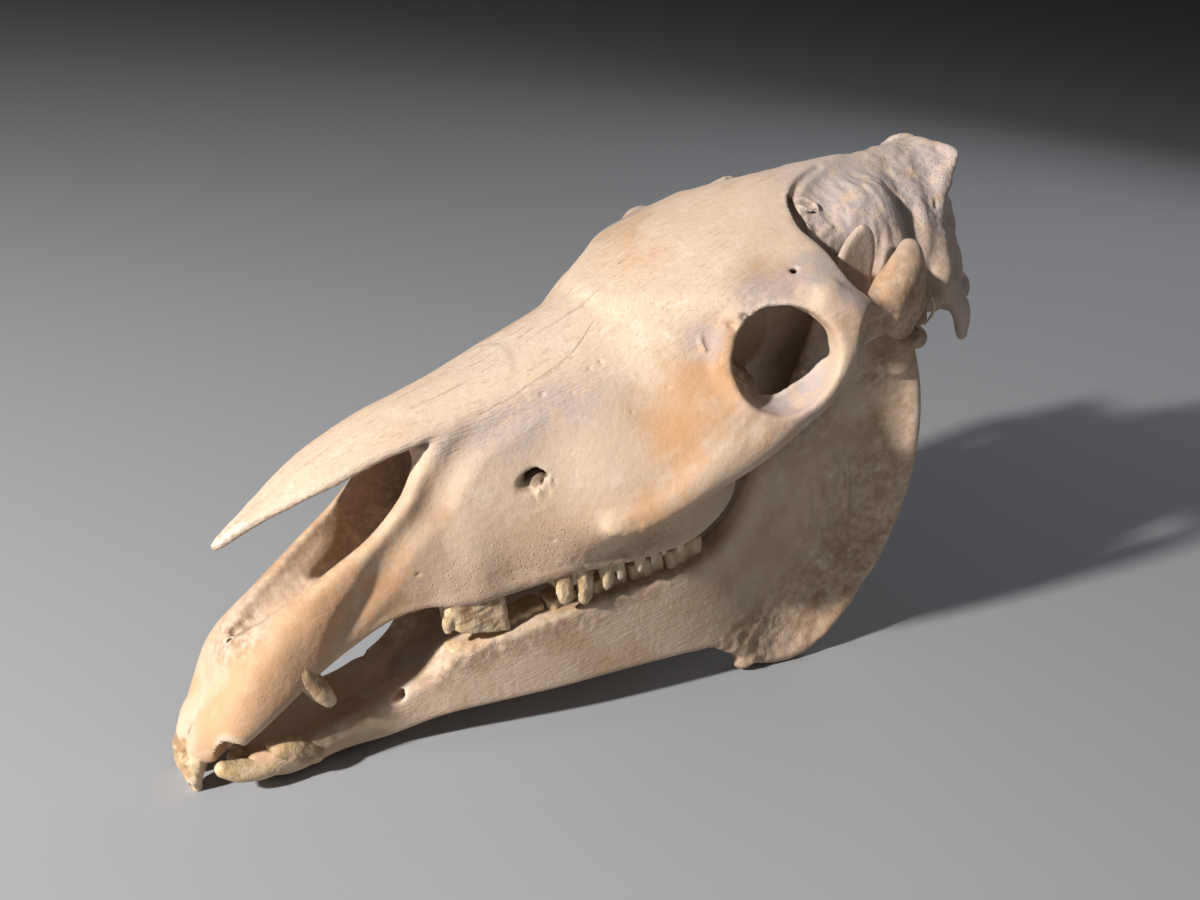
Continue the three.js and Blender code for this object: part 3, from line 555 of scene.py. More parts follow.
ZYGOMATIC_ARCH = tube([
    [303, 71, 31, 4], [290, 76, 31, 5.5], [275, 80, 34, 7], [244, 88, 47, 10], [214, 93, 58, 12],
    [186, 98, 70, 9], [166, 100, 84, 9.5], [146, 99, 100, 12], [124, 92, 104, 14], [104, 84, 108, 15],
    [88, 70, 104, 13], [76, 50, 100, 12],
], (1, 1.9, 1))
ARCH_HUMP = tube([[114, 91, 109, 13], [102, 87, 119, 13.5], [94, 83, 126, 10]], (1, 1.4, 1))
ARCH_HEEL = tube([[100, 86, 110, 11], [97, 86, 97, 11], [104, 87, 88, 9.5]], (1, 1.4, 1))
POSTORBITAL_BAR = tube([[160, 91, 124, 8], [153, 97, 113, 9], [150, 99, 100, 9]], (1, 1.3, 1))
ORBIT_RIM = tube([
    [223, 74, 101, 6], [219, 85, 83, 6], [202, 94, 70, 6.5], [186, 97, 71, 6.5], [172, 100, 80, 6],
    [163, 101, 98, 6], [166, 96, 111, 6], [176, 88, 119, 6], [188, 80, 124, 6], [203, 74, 124, 6],
    [216, 71, 115, 6], [223, 74, 101, 6],
])

ORBIT_CENTRE = np.array([195.0, 92.0, 100.0])
ORBIT_OUTWARD = np.array([0.35, 0.9, 0.27]) / np.linalg.norm([0.35, 0.9, 0.27])


def orbit_station(depth, radius, rise=0):
    """A station of the eye socket, `depth` along its axis and lifted by `rise`."""
    return [*(ORBIT_CENTRE + depth * ORBIT_OUTWARD + [rise / 3, 0, rise]), radius]


ORBIT = tube([orbit_station(*row) for row in (
    (30, 33), (0, 29.5), (-4, 28.5, 1.5), (-13, 24.5, 7), (-28, 22, 9), (-50, 17, 8),
)])
ORBIT_SHELF = tube([
    [221, 76, 88, 7], [210, 81, 77, 8.5], [195, 84, 72.5, 9], [181, 87, 75, 8], [169, 92, 86, 6],
])
CREST_UNDERCUT = tube([
    [298, 73, 16, 5], [280, 76, 15, 9], [258, 78, 17, 13], [236, 81, 23, 15], [212, 85, 31, 16],
    [190, 88, 39, 15],
])
BEHIND_ORBIT = ellipsoid([133, 123, 92], [27, 28, 38])
TEMPORAL_OPENING = ellipsoid([112, 64, 116], [26, 16, 60])
BESIDE_PALATE = ellipsoid([172, 60, 50], [42, 24, 32])

NASAL_SIDE = [[330, 24], [352, 27], [385, 28], [411, 25], [434, 22], [459, 15], [479, 8], [497, 3]]
NASAL_RIM = smooth_curve([[318, 0], *NASAL_SIDE, [500, 0], *mirrored(NASAL_SIDE[::-1], -1)], 6, closed=True)
NASAL_THICKNESS = 5.5
NASAL_BEND = 0.009  # drop per square millimetre from the midline


def nasal_field(x, y, z):
    """The pair of nasal bones, ending in a long free spine over the nostrils."""
    top = roof_at(x) - NASAL_BEND * y * y
    return plate(NASAL_RIM, x, y, z, top, NASAL_THICKNESS, 3)


NASAL_BONES = Shape([316, 0, 70], [502, 29, 124], nasal_field)
NASAL_CAVITY = tube([
    [512, 0, 30, 4], [494, 0, 36, 10], [474, 0, 44, 14.5], [448, 0, 52, 18.5], [425, 0, 60, 21],
    [400, 0, 70, 22], [375, 0, 70, 22], [330, 0, 64, 18], [290, 0, 60, 12],
], (1, 1, 0.72))
CHOANA = tube([[190, 0, 8, 17], [222, 0, 18, 19], [248, 0, 26, 17], [274, 0, 32, 10]], (1, 0.9, 1))
NUCHAL_CREST = tube([
    [51, 48, 101, 5], [36, 42, 110, 4.5], [24, 37, 122, 4], [12, 31, 134, 3.5], [-3, 25, 146, 3.2],
    [-2, 14, 148, 3.5], [3, 0, 150, 4], [-2, -14, 148, 3.5],
])
NUCHAL_WEB = tube([[40, 40, 108, 7], [25, 34, 120, 7], [14, 28, 131, 7], [6, 20, 140, 6.5], [8, 0, 144, 7]])
PAIRED_KNOBS = [
    (tube([[34, 46, 106, 6], [40, 54, 88, 9]]), 8),  # crest down to the mastoid
    (tube([[42, 50, 90, 11], [52, 60, 78, 9]]), 8),  # mastoid and ear region
    (tube([[20, 42, 72, 9], [11, 46, 50, 7], [8, 45, 31, 4]], (1, 1.2, 1)), 8),  # paracondylar process
    (tube([[12, 20, 56, 14], [-2, 24, 56, 13], [-5, 21, 46, 10]]), 6),  # occipital condyle
    (tube([[90, 60, 90, 9], [87, 76, 90, 8]], (1, 1, 1.2)), 8),  # articular tubercle over the jaw joint
    (tube([[68, 60, 82, 7], [66, 64, 70, 5]]), 6),  # retroarticular process
    (tube([[222, 24, 18, 5], [196, 25, 16, 5], [168, 22, 32, 5]], (1, 1.5, 0.7)), 8),  # pterygoid wing
]
INCISOR_BONE = tube([[520, 9, -14, 10], [530, 9, -20, 10], [538, 8.5, -29, 8]])
NASAL_GROOVE = tube([
    [462, 37, 6, 5], [452, 35, 15, 7.5], [444, 35, 22, 9], [434, 36, 31, 9.5], [425, 37.5, 43, 9.5],
    [417, 38, 52, 8], [409, 38.5, 58, 8], [400, 39.5, 63, 8.5], [392, 40, 71, 9], [384, 40.5, 81, 9.5],
    [375, 42, 91, 10], [365, 43, 98, 10], [347, 46, 104, 10], [329, 49, 111, 10], [308, 52, 118, 10],
    [292, 54, 122, 9], [275, 58, 124, 6],
])
TEMPORAL_HUMP = ellipsoid([84, 27, 125], [34, 25, 28])
TEMPORAL_VALLEY = tube([
    [38, 20, 160, 7], [45, 33, 152, 11], [50, 45, 142, 13], [56, 57, 126, 12], [60, 64, 110, 9],
])
TEMPORAL_UNDERCUT = tube([
    [131, 22, 155, 3], [136, 34, 148, 6], [140, 46, 141, 8.5], [140, 60, 134, 9], [135, 78, 125, 8],
])
TEMPORAL_GROOVE = tube([
    [139, 43, 150.5, 3], [134, 32, 155, 3], [125, 23, 158.5, 2.8], [111, 14.5, 161.5, 2.6],
    [92, 8, 163, 2.2],
])
FORAMEN_MAGNUM = tube([[-24, 0, 66, 19], [0, 0, 68, 17], [36, 0, 74, 20]])
INFRAORBITAL_FORAMEN = tube([[350, 53, 66, 3.5], [341, 50, 66.5, 5.5], [332, 44, 67, 6], [318, 37, 69, 5]])
INFRAORBITAL_PLUG = ellipsoid([331, 41, 61.5], [8.5, 7.6, 7.4])
SUPRAORBITAL_FORAMEN = tube([
    [176, 72, 143.5, 1.2], [171, 72.5, 141, 1.8], [168, 71, 136, 1.9], [160, 66, 131, 1.8],
])

ORBIT_CHIPS = [([216, 76, 123.5], [2.0, 5, 2.0]), ([209, 78, 126.5], [2.4, 4, 1.3])]
FLESHY_CURL = [
    [[126, 25.5, 156], [122, 27, 155.5], [119, 29, 153.5], [117, 31.5, 151], [118.5, 34, 149]],
    [[128, 31, 153.5], [125, 33, 151.5], [122.5, 34.5, 150]],
]
TEMPORAL_PITS = [
    [121, 31.5, 152, 2.2], [119.5, 34, 149, 1.6], [129, 39, 147, 1.4], [132, 42, 142, 1.6],
    [126, 43, 140, 1.5], [135, 41, 146, 1.4], [124, 40, 143.5, 1.3], [129, 45.5, 135, 1.5],
    [121, 44.5, 137, 1.4],
]
TEMPORAL_SLIT = [
    [[122, 46.5, 136, 1.4], [120, 49, 129, 2.0], [117, 50.5, 121, 2.2], [116, 51, 113, 1.6]],
    [[131, 45.5, 138, 1.2], [128, 48, 131, 1.6], [125, 50, 124, 1.2]],
]
CREST_CRACKS = [[[41, 33, 138.5, 0.8], [39, 37, 135, 1.3], [42, 40.5, 132, 1.1], [41, 44, 128.5, 1.5],
                 [46, 48.5, 125, 1.4], [45, 51, 121, 0.9]],
                [[33, 36, 135, 0.8], [31, 38.5, 131, 1.2], [33, 41, 127, 0.9]],
                [[27, 36, 133, 0.7], [26.5, 38, 129, 1.1], [28, 40, 124, 0.8]]]
OCCIPUT_RAGS = [
    [[27, 39, 121, 1.6], [28, 41, 112, 2.2], [26, 42, 103, 2.4], [24, 44, 95, 1.2]],
    [[22, 38, 118, 1.5], [20, 40, 108, 2.0], [17, 42, 98, 1.8], [15, 44, 88, 0.9]],
    [[31, 43, 108, 2.2], [33, 44, 99, 2.6], [33, 45, 92, 1.8]],
    [[16, 37, 110, 1.2], [12, 41, 92, 1.5], [8, 43, 78, 1.2], [7, 44, 70, 0.8]],
    [[26, 42, 100, 1.6], [20, 43, 97, 1.8], [14, 43, 95, 1.2]],
]
CHEEK_SPLINTER = [[84, 90, 101, 0.8], [82, 92, 95, 1.3], [83, 92, 88, 1.1], [89, 91, 82, 0.8]]
INCISOR_CRACK = [
    [503, 0, 24, 1.6], [509, 1.5, 21.5, 1.4], [513, 0.4, 17.4, 1.1], [517.4, -1, 11.5, 0.9],
    [521.5, -1.6, 4.6, 0.9], [525.6, -0.7, -2.4, 0.8], [530, 1.5, -8, 0.8], [535, 1, -14, 0.9],
    [540, 0.5, -24, 1.2],
]
LOST_TOOTH_SOCKET = ellipsoid([347, 34, -4], [11.5, 8, 9])
EMPTY_SOCKET = [[531, 25, -35, 7.5], [527, 24, -27, 6.8], [520, 21, -17, 4.5]]
NOSE_PITS = [[501, -2.5, 23, 3.2], [495, -4.5, 24, 2.2], [505, 1, 19, 2.4], [497, 2, 25, 1.8]]
NOSE_CLEFT = [
    [503, -1, 24, 2.2], [492, -2, 26, 3.4], [478, -1, 28, 3.6], [462, 0, 31, 3.0], [446, 0, 34, 2.2],
]
LACRIMAL_NICK = [[229.0, 65.5, 118.5], [230.2, 67.6, 116], [230, 69.6, 113.5]]
SPECK_RADIUS = 1.1
SPECKS = [
    [242.6, 41.8, 134.8], [242.9, 49.5, 128.3], [255.5, 65.5, 97.8], [317.8, 37.7, 107.9],
    [302.9, 44.6, 104.6], [277.2, 60.6, 89.2], [334.7, 55.3, 29.8], [407.6, 34.2, 31.7],
    [287.9, 40.5, 113.0], [280.9, 41, 114.1],
]


def add_cranium_damage(volume):
    """Chips, pits, cracks and torn edges, as the left side shows them."""
    for centre, radii in ORBIT_CHIPS:
        volume.cut(ellipsoid(centre, radii), 1.5)
    volume.roughen([214, 76, 114], [18, 14, 20], 4, 0.4, seed=3)
    volume.roughen([190, 88, 100], [44, 26, 44], 11, 0.8, seed=5)
    for stations in FLESHY_CURL:
        volume.add(tube([[*p, 1.5] for p in stations]), 1.5)
    for x, y, z, r in TEMPORAL_PITS:
        volume.cut(ellipsoid([x, y, z], [r * 1.3, r, r]), 1)
    for stations in TEMPORAL_SLIT + CREST_CRACKS:
        volume.cut(tube(stations), 1)
    volume.roughen([126, 41, 141], [14, 12, 13], 3.6, 1.5, seed=7)
    volume.roughen([84, 40, 136], [46, 30, 32], 3.0, 0.9, seed=6, stretch=(1, 3, 4))
    volume.roughen([84, 40, 136], [46, 30, 32], 9, 1.7, seed=8, stretch=(1, 2, 2.6))
    volume.roughen([84, -40, 136], [46, 30, 32], 9, 1.1, seed=18)
    volume.roughen([24, 0, 140], [40, 70, 50], 7, 1.5, seed=9)
    volume.roughen([10, 0, 80], [30, 70, 50], 9, 1.6, seed=10)
    for side in (1, -1):
        for stations in OCCIPUT_RAGS:
            volume.add(tube(mirrored(stations, side)), 2)
    volume.roughen([20, 42, 100], [22, 14, 26], 4.5, 1.6, seed=11)
    volume.add(tube(CHEEK_SPLINTER), 1)
    volume.roughen([100, 88, 108], [34, 26, 40], 12, 0.8, seed=12)
    volume.roughen([298, 76, 29], [12, 8, 8], 5, 0.7, seed=13)
    volume.roughen([333, 47, 62], [9, 8, 10], 2.4, 1.8, seed=14, stretch=(1, 1, 3))
    for side in (1, -1):
        volume.roughen([300, side * 54, 2], [110, 12, 16], 3, 0.5, seed=15)
        volume.cut(tube(mirrored(EMPTY_SOCKET, side)), 1.5)
    volume.cut(LOST_TOOTH_SOCKET, 2)
    volume.cut(tube(INCISOR_CRACK), 1)
    volume.roughen([503, 0, 21], [12, 9, 9], 3, 1.2, seed=16)
    volume.cut(tube(NOSE_CLEFT), 2)
    for x, y, z, r in NOSE_PITS:
        volume.cut(ellipsoid([x, y, z], [r, r * 0.8, r]), 1)
    volume.roughen([516, 2, 10], [14, 8, 14], 4, 0.8, seed=17)
    volume.roughen([450, 0, 92], [50, 26, 16], 5, 0.5, seed=19, stretch=(3, 1, 1))
    volume.add(tube([[x + 1.8, y - 0.2, z - 0.4, 1.1] for x, y, z in LACRIMAL_NICK]), 2)
    volume.cut(tube([[x, y + 0.9, z + 0.5, 1.1] for x, y, z in LACRIMAL_NICK]), 0.8)
    for place in SPECKS:
        volume.cut(ellipsoid(place, [SPECK_RADIUS] * 3), 0.6)


def cranium_volume():
    volume = Volume([-28, 0, -50], [562, 116, 178], SKIN_GRID, mirror=True)
    volume.fill(HEAD_CORE, START_MARGIN)
    for shape, k in [(MUZZLE, 4), (FOREHEAD, 9), (ZYGOMATIC_ARCH, 8), (ARCH_HUMP, 6), (ARCH_HEEL, 8),
                     (POSTORBITAL_BAR, 12), (ORBIT_RIM, 8), (INCISOR_BONE, 6), (NUCHAL_WEB, 8),
                     (NUCHAL_CREST, 5), *PAIRED_KNOBS, (TEMPORAL_HUMP, 9)]:
        volume.add(shape, k)
    for shape, k in [(TEMPORAL_VALLEY, 6), (NASAL_GROOVE, 7), (CREST_UNDERCUT, 2), (BEHIND_ORBIT, 2.5)]:
        volume.cut(shape, k)
    volume.add(ORBIT_SHELF, 5)
    for shape, k in [(ORBIT, 3), (TEMPORAL_UNDERCUT, 3), (TEMPORAL_GROOVE, 2), (TEMPORAL_OPENING, 6),
                     (BESIDE_PALATE, 6), (NASAL_CAVITY, 3)]:
        volume.cut(shape, k)
    volume.add(NASAL_BONES, 4)
    for shape, k in [(CHOANA, 4), (FORAMEN_MAGNUM, 3), (INFRAORBITAL_FORAMEN, 2.5)]:
        volume.cut(shape, k)
    volume.add(INFRAORBITAL_PLUG, 1.5)
    volume.cut(SUPRAORBITAL_FORAMEN, 1.5)
    volume.unfold()
    add_cranium_damage(volume)
    return volume


# ------------------------------------------------------------------ lower jaw

JAW_RIM = smooth_curve([
    [104, 82], [84, 80], [75, 64], [66, 25], [65, -16], [74, -58], [93, -95], [120, -126], [142, -143],
    [165, -149], [186, -145], [206, -133], [223, -115], [242, -103], [282, -92], [338, -81], [377, -74],
    [407, -70], [450, -70], [470, -58], [440, -47], [412, -41], [396, -30], [350, -28], [290, -31],
    [240, -35], [210, -24], [184, 20], [162, 66], [146, 100], [134, 122], [122, 140], [110, 146], [102, 138],
    [101, 124], [106, 102],
], 6, closed=True)
JAW_MIDDLE = [
    [57, 54], [100, 52], [150, 49], [200, 45], [250, 41], [300, 37], [350, 32], [400, 24], [440, 15],
    [470, 10],
]
JAW_HALF_WIDTH = [
    [57, 3.6], [140, 3.4], [190, 5], [225, 9], [260, 12], [330, 12.5], [390, 11], [430, 9.5], [470, 9],
]
JAW_LEAN = 12  # how much further out the blade's top is than its foot
MUSCLE_HOLLOW = 7.5  # depth of the dish in the blade's outer face
EDGE_SWELL = 3.2  # extra half width along the blade's border


def jaw_field(x, y, z):
    """One side of the lower jaw: thick under the teeth, thin with a stout edge in the upright blade."""
    flat = polygon_distance(JAW_RIM, *np.broadcast_arrays(x[:, 0, :], z[:, 0, :]))[:, None, :]
    rise = smoothstep(z, -140, 110) * JAW_LEAN * (1 - smoothstep(x, 150, 230))
    dish = MUSCLE_HOLLOW * smoothstep(-flat, 4, 44) * (1 - smoothstep(x, 165, 235))
    dish = dish * (1 - smoothstep(z, 10, 70))
    middle = along(JAW_MIDDLE, x) + rise - dish
    edge = EDGE_SWELL * np.exp(-(((flat + 6) / 6) ** 2)) * (1 - smoothstep(x, 170, 260))
    edge = edge * (1 - smoothstep(z, 20, 90))
    half_width = (along(JAW_HALF_WIDTH, x) + edge) * (1 - 0.3 * smoothstep(z, 60, 130))
    return carve(flat, np.abs(y - middle) - half_width, 5)


JAW_SIDE = Shape([64, 0, -152], [472, 72, 144], jaw_field)
JAW_CONDYLE = tube([[88, 54, 71, 7.5], [86, 67, 73, 8.5], [85, 80, 69, 7]])
JAW_NECK = tube([[86, 69, 68, 8], [84, 66, 46, 7]], (1, 1.1, 1))
CHIN = loft([
    {"x": 424, "ring": [[0, -52], [10, -49], [18, -46], [24, -52], [23, -64], [12, -70], [0, -69]]},
    {"x": 450, "ring": [[0, -52], [10, -49], [20, -46], [25, -52], [23, -63], [12, -69], [0, -69]]},
    {"x": 478, "ring": [[0, -50], [12, -47], [24, -44], [28, -50], [25, -61], [13, -68], [0, -69]]},
    {"x": 502, "ring": [[0, -46], [12, -44], [26, -41], [30, -47], [27, -58], [13, -66], [0, -67]]},
    {"x": 520, "ring": [[0, -43], [10, -41], [22, -39], [26, -44], [22, -52], [11, -57], [0, -58]]},
])
JAW_TROUGH = tube([[506, 0, -33, 9], [470, 0, -36, 10], [440, 0, -38, 9], [400, 0, -38, 10]])
MENTAL_FORAMEN = tube([[439, 29.5, -43, 2.6], [433, 25, -46, 2.8], [424, 20, -49, 2.6], [414, 17, -51, 2]])
JAW_NOTCH = ellipsoid([241, 46, -111], [10, 16, 7])
JAW_CORNER = ellipsoid([208, 48, -131], [8, 5, 5])
CORONOID_HOLLOW = ellipsoid([111, 76, 120], [9, 9.5, 26])
JAW_RELIEF = [  # centre, radii, size, depth, seed, stretch
    ([130, 52, -50], [60, 14, 90], 14, 1.1, 21, (1, 1, 1)),
    ([135, 52, -45], [26, 12, 50], 4.5, 2.0, 27, (1, 1, 3.5)),
    ([120, 54, -110], [80, 14, 50], 6, 0.8, 22, (1, 1, 1)),
    ([215, 50, -118], [50, 14, 22], 5, 0.9, 23, (1, 1, 1)),
    ([310, 40, -36], [100, 18, 9], 4, 0.5, 24, (1, 1, 1)),
    ([380, 30, -34], [26, 14, 8], 3, 0.9, 25, (1, 1, 1)),
    ([495, 22, -48], [30, 10, 10], 4, 0.9, 26, (1, 1, 1)),
]


def jaw_volume():
    volume = Volume([44, 0, -170], [545, 96, 160], SKIN_GRID, mirror=True)
    volume.fill(JAW_SIDE, START_MARGIN)
    volume.add(JAW_CONDYLE, 5)
    volume.add(JAW_NECK, 6)
    volume.add(CHIN, 8)
    volume.cut(JAW_TROUGH, 4)
    volume.cut(CORONOID_HOLLOW, 2)
    volume.cut(MENTAL_FORAMEN, 2)
    volume.cut(JAW_NOTCH, 4)
    volume.add(JAW_CORNER, 5)
    volume.unfold()
    for side in (1, -1):
        for (x, y, z), radii, size, depth, seed, stretch in JAW_RELIEF:
            volume.roughen([x, side * y, z], radii, size, depth, seed, stretch)
    return volume


# ------------------------------------------------------------------ teeth

CROWN_HALF = [
    [-1, -0.8], [-0.8, -1], [0.8, -1], [1, -0.8], [1, 0.85], [0.8, 1.04], [0.55, 0.92], [0.3, 0.9],
    [0, 1.05], [-0.3, 0.9], [-0.55, 0.92], [-0.8, 1.04], [-1, 0.85],
]
PREMOLAR_CROWN = [
    [-1, -0.8], [-0.8, -1], [0.8, -1], [1, -0.6], [1.02, 0.3], [0.85, 0.75], [0.4, 0.95], [0, 0.98],
    [-0.5, 1.02], [-0.85, 1.05], [-1, 0.9],
]


def cheek_tooth(x_range, middle, z_range, width, crown=CROWN_HALF, slant=0.0):
    """A block whose plan is `crown`, scaled to its length and width. Its worn end may slant."""
    length = x_range[1] - x_range[0]
    centre = (x_range[0] + x_range[1]) / 2
    side = 1 if middle > 0 else -1
    rim = smooth_curve([[u * length / 2, v * side * width / 2] for u, v in crown], 4, closed=True)
    bottom, top = z_range

    def at(x, y, z):
        level = np.minimum(z - bottom - slant * (x - x_range[0]), top - z)
        return carve(plan_distance(rim, x - centre, y - middle), -level, 2)

    reach = width / 2 + 1.5
    return Shape([x_range[0] - 1, middle - reach, bottom], [x_range[1] + 1, middle + reach, top], at)


UPPER_CHEEK_TEETH = [
    ([362, 395], 28, [-28, 8]), ([334, 360], 34, [-9, 12]), ([306, 332], 38, [-12, 12]),
    ([280, 304], 41, [-12, 12]), ([255, 278], 42, [-12, 10]), ([229, 253], 42, [-12, 8]),
]
LOWER_CHEEK_TEETH = [
    ([366, 397], 24.5, [-50, -29]), ([337, 361], 28, [-50, -24]), ([309, 335], 32, [-52, -22]),
    ([283, 307], 34.5, [-54, -21]), ([258, 281], 37, [-55, -21]), ([230, 256], 39, [-55, -22]),
]
UPPER_CHEEK_WIDTH = 23
RIBBED_WIDTH = 17
LOWER_CHEEK_WIDTH = 15
FIRST_CHEEK_TOOTH = 2
LOST_TOOTH = 3  # the left upper cheek tooth that is gone
PREMOLAR_SLANT = 0.42
# Worn ribs of the upper cheek teeth by tooth: [x, y, top, tip, radius].
CHEEK_RIBS = {
    3: [[354, 42, 8, -9, 3.6], [344, 43, 8, -10, 3.6], [337, 44, 8, -9, 2.6]],
    4: [[328.5, 48, 10, -22, 5.6], [317, 49.5, 10, -26.5, 5.8]],
    5: [[302, 51.5, 8, -23, 4.6], [293.5, 52.5, 7, -20, 3.6]],
    6: [[280, 53.5, 5, -20.5, 3.8], [271, 54, 4, -19.5, 3.2], [263, 54, 3, -17, 2.4]],
    7: [[251, 54, 2, -20.5, 2.8], [240, 53, 1, -16, 2.6], [232, 52, 0, -15, 2.4]],
}
PREMOLAR_LEDGE = [[393, 33, -2, 3.4], [396.5, 32.5, -8, 3.2], [397, 32, -13, 2.2]]
PREMOLAR_CHIP = [[358, 46, -31, 4.2], [366, 43, -26, 3.0], [371, 41, -20, 1.6]]
# Front teeth: stations [x, y, z, radius across, radius deep].
UPPER_CANINE = [
    [482, 26, 6, 6, 6.5], [478, 27.5, -6, 6.2, 6.5], [473.5, 28.5, -16, 5.4, 5.8], [471, 28.5, -23, 3.6, 4],
]
UPPER_INCISOR = [
    [530, 8, -20, 7, 5.5], [541, 8, -32, 7.8, 6.2], [546.5, 8, -43, 7.2, 5.2], [547.5, 8, -52, 4.8, 3],
]
LOWER_CANINE = [
    [486, 24, -54, 7, 7], [496, 26, -45, 7, 7], [502, 26.5, -40, 5.5, 5.5], [507, 26, -35.5, 2.8, 2.8],
]
LOWER_INCISORS = [
    [[498, 22, -51, 6, 5], [514, 23.5, -48.5, 7, 6], [527, 23.5, -43, 6.6, 5.6], [534, 23, -38, 5.2, 4.2]],
    [[500, 9, -53, 6, 5], [514, 9, -51, 6.5, 5.5], [524, 9, -46, 5.5, 4.5]],
]
INCISOR_SPLIT = [[554, 10, -60, 2.6], [551.5, 10.5, -52, 1.8], [549, 11, -45, 0.9]]
INCISOR_COLLAR = [[538, 16, -31, 1.2], [546, 13, -33, 1.4], [549, 8, -34, 1.4], [546, 2, -34, 1.2]]
CANINE_CHIP = [[464, 36, -21, 3.0], [470, 36, -13, 1.8]]


def peg(stations, side=1):
    """A curved front tooth: stations [x, y, z, radius across, radius deep]."""
    s = np.array(stations, float)
    flatter = float(np.mean(s[:, 4] / s[:, 3]))
    return tube(np.column_stack([s[:, 0], s[:, 1] * side, s[:, 2], s[:, 4]]), (1, flatter, 1), 6)


def rib(x, y, top, tip, r, side):
    """A worn, broken rib of tooth, flatter from side to side than along the jaw."""
    stations = [[x, y - 2, top, r], [x - 0.4, y - 0.5, (top + tip) / 2, r * 1.02],
                [x + 0.4, y - 0.5, tip + 1.2 * r, r * 0.9], [x + 0.8, y - 1, tip + 0.6 * r, r * 0.6]]
    return tube(mirrored(stations, side), (1, 1.35, 1))


def tooth_object(name, shape, material, seed, extra=(), cuts=(), grain=(1, 1, 3), depth=0.35, gum=0.0):
    """One tooth. `grain` stretches its fine relief, and `gum` is the height where it leaves the bone."""
    low, high = shape.low, shape.high
    for piece in extra:
        low, high = np.minimum(low, piece.low), np.maximum(high, piece.high)
    volume = Volume(low - TOOTH_MARGIN, high + TOOTH_MARGIN, TOOTH_GRID)
    volume.fill(shape, TOOTH_MARGIN)
    for piece in extra:
        volume.add(piece, 1.5)
    for piece in cuts:
        volume.cut(piece, 0.8)
    middle, reach = (low + high) / 2, (high - low) / 2 + 6
    volume.roughen(middle, 1.6 * reach, 1.9, depth, seed=seed, stretch=grain)
    volume.roughen(middle, 1.6 * reach, 6, 1.1 * depth, seed=seed + 1)
    points, quads = largest_body(*volume.surface())
    masks = relief(volume, points, quads)
    masks["root"] = 1 - smoothstep(np.abs(points[:, 2] - gum), 2, 12)
    return make_object(name, points, quads, material, attributes=masks)


# ------------------------------------------------------------------ materials


class Nodes:
    """Short calls for a node tree. Each returns an output socket; a value may be a socket or a constant."""

    def __init__(self, name):
        self.material = bpy.data.materials.new(name)
        self.material.use_nodes = True
        self.tree = self.material.node_tree
        self.shader = self.tree.nodes["Principled BSDF"]
        self.shader.inputs["Specular IOR Level"].default_value = 0.3
        coordinates = self.new("ShaderNodeTexCoord").outputs["Object"]
        upright = self.new("ShaderNodeMapping")
        upright.inputs["Rotation"].default_value = (0, -PITCH, 0)
        upright.inputs["Scale"].default_value = (1000, 1000, 1000)
        self.plug(coordinates, upright.inputs["Vector"])
        self.place = upright.outputs["Vector"]  # millimetres along the skull's own axes

    def new(self, kind, **settings):
        node = self.tree.nodes.new(kind)
        for key, value in settings.items():
            setattr(node, key, value)
        return node

    def plug(self, value, socket):
        if isinstance(value, bpy.types.NodeSocket):
            self.tree.links.new(value, socket)
        else:
            socket.default_value = value

    def attribute(self, name):
        return self.new("ShaderNodeAttribute", attribute_name=name).outputs["Fac"]

    def math(self, operation, a, b=0.0):
        node = self.new("ShaderNodeMath", operation=operation)
        self.plug(a, node.inputs[0])
        self.plug(b, node.inputs[1])
        return node.outputs[0]

    def times(self, a, b):
        return self.math("MULTIPLY", a, b)

    def plus(self, a, b):
        return self.math("ADD", a, b)

    def step(self, value, low, high, top=1.0):
        """0 at `low`, `top` at `high`; low may be above high."""
        node = self.new("ShaderNodeMapRange", interpolation_type="SMOOTHSTEP")
        if low > high:
            low, high, first, last = high, low, top, 0.0
        else:
            first, last = 0.0, top
        for socket, number in zip(node.inputs[1:5], (low, high, first, last)):
            socket.default_value = number
        self.plug(value, node.inputs[0])
        return node.outputs[0]

    def stretched(self, scale):
        node = self.new("ShaderNodeMapping")
        node.inputs["Scale"].default_value = scale
        self.plug(self.place, node.inputs["Vector"])
        return node.outputs["Vector"]

    def noise(self, size, detail=3.0, rough=0.5, place=None, warp=0.0):
        node = self.new("ShaderNodeTexNoise")
        node.inputs["Scale"].default_value = 1 / size
        node.inputs["Detail"].default_value = detail
        node.inputs["Roughness"].default_value = rough
        node.inputs["Distortion"].default_value = warp
        self.plug(place or self.place, node.inputs["Vector"])
        return node.outputs["Fac"]

    def cells(self, size):
        node = self.new("ShaderNodeTexVoronoi")
        node.inputs["Scale"].default_value = 1 / size
        self.plug(self.place, node.inputs["Vector"])
        return node.outputs["Distance"]

    def mix(self, factor, a, b):
        node = self.new("ShaderNodeMix", data_type="RGBA")
        self.plug(factor, node.inputs[0])
        self.plug(a, node.inputs[6])
        self.plug(b, node.inputs[7])
        return node.outputs[2]

    def finish(self, colour, roughness, height, depth):
        """Base colour, roughness and a bump whose height of 1 stands `depth` metres."""
        bump = self.new("ShaderNodeBump")
        bump.inputs["Distance"].default_value = depth
        self.plug(height, bump.inputs["Height"])
        self.plug(colour, self.shader.inputs["Base Color"])
        self.plug(roughness, self.shader.inputs["Roughness"])
        self.plug(bump.outputs["Normal"], self.shader.inputs["Normal"])
        return self.material


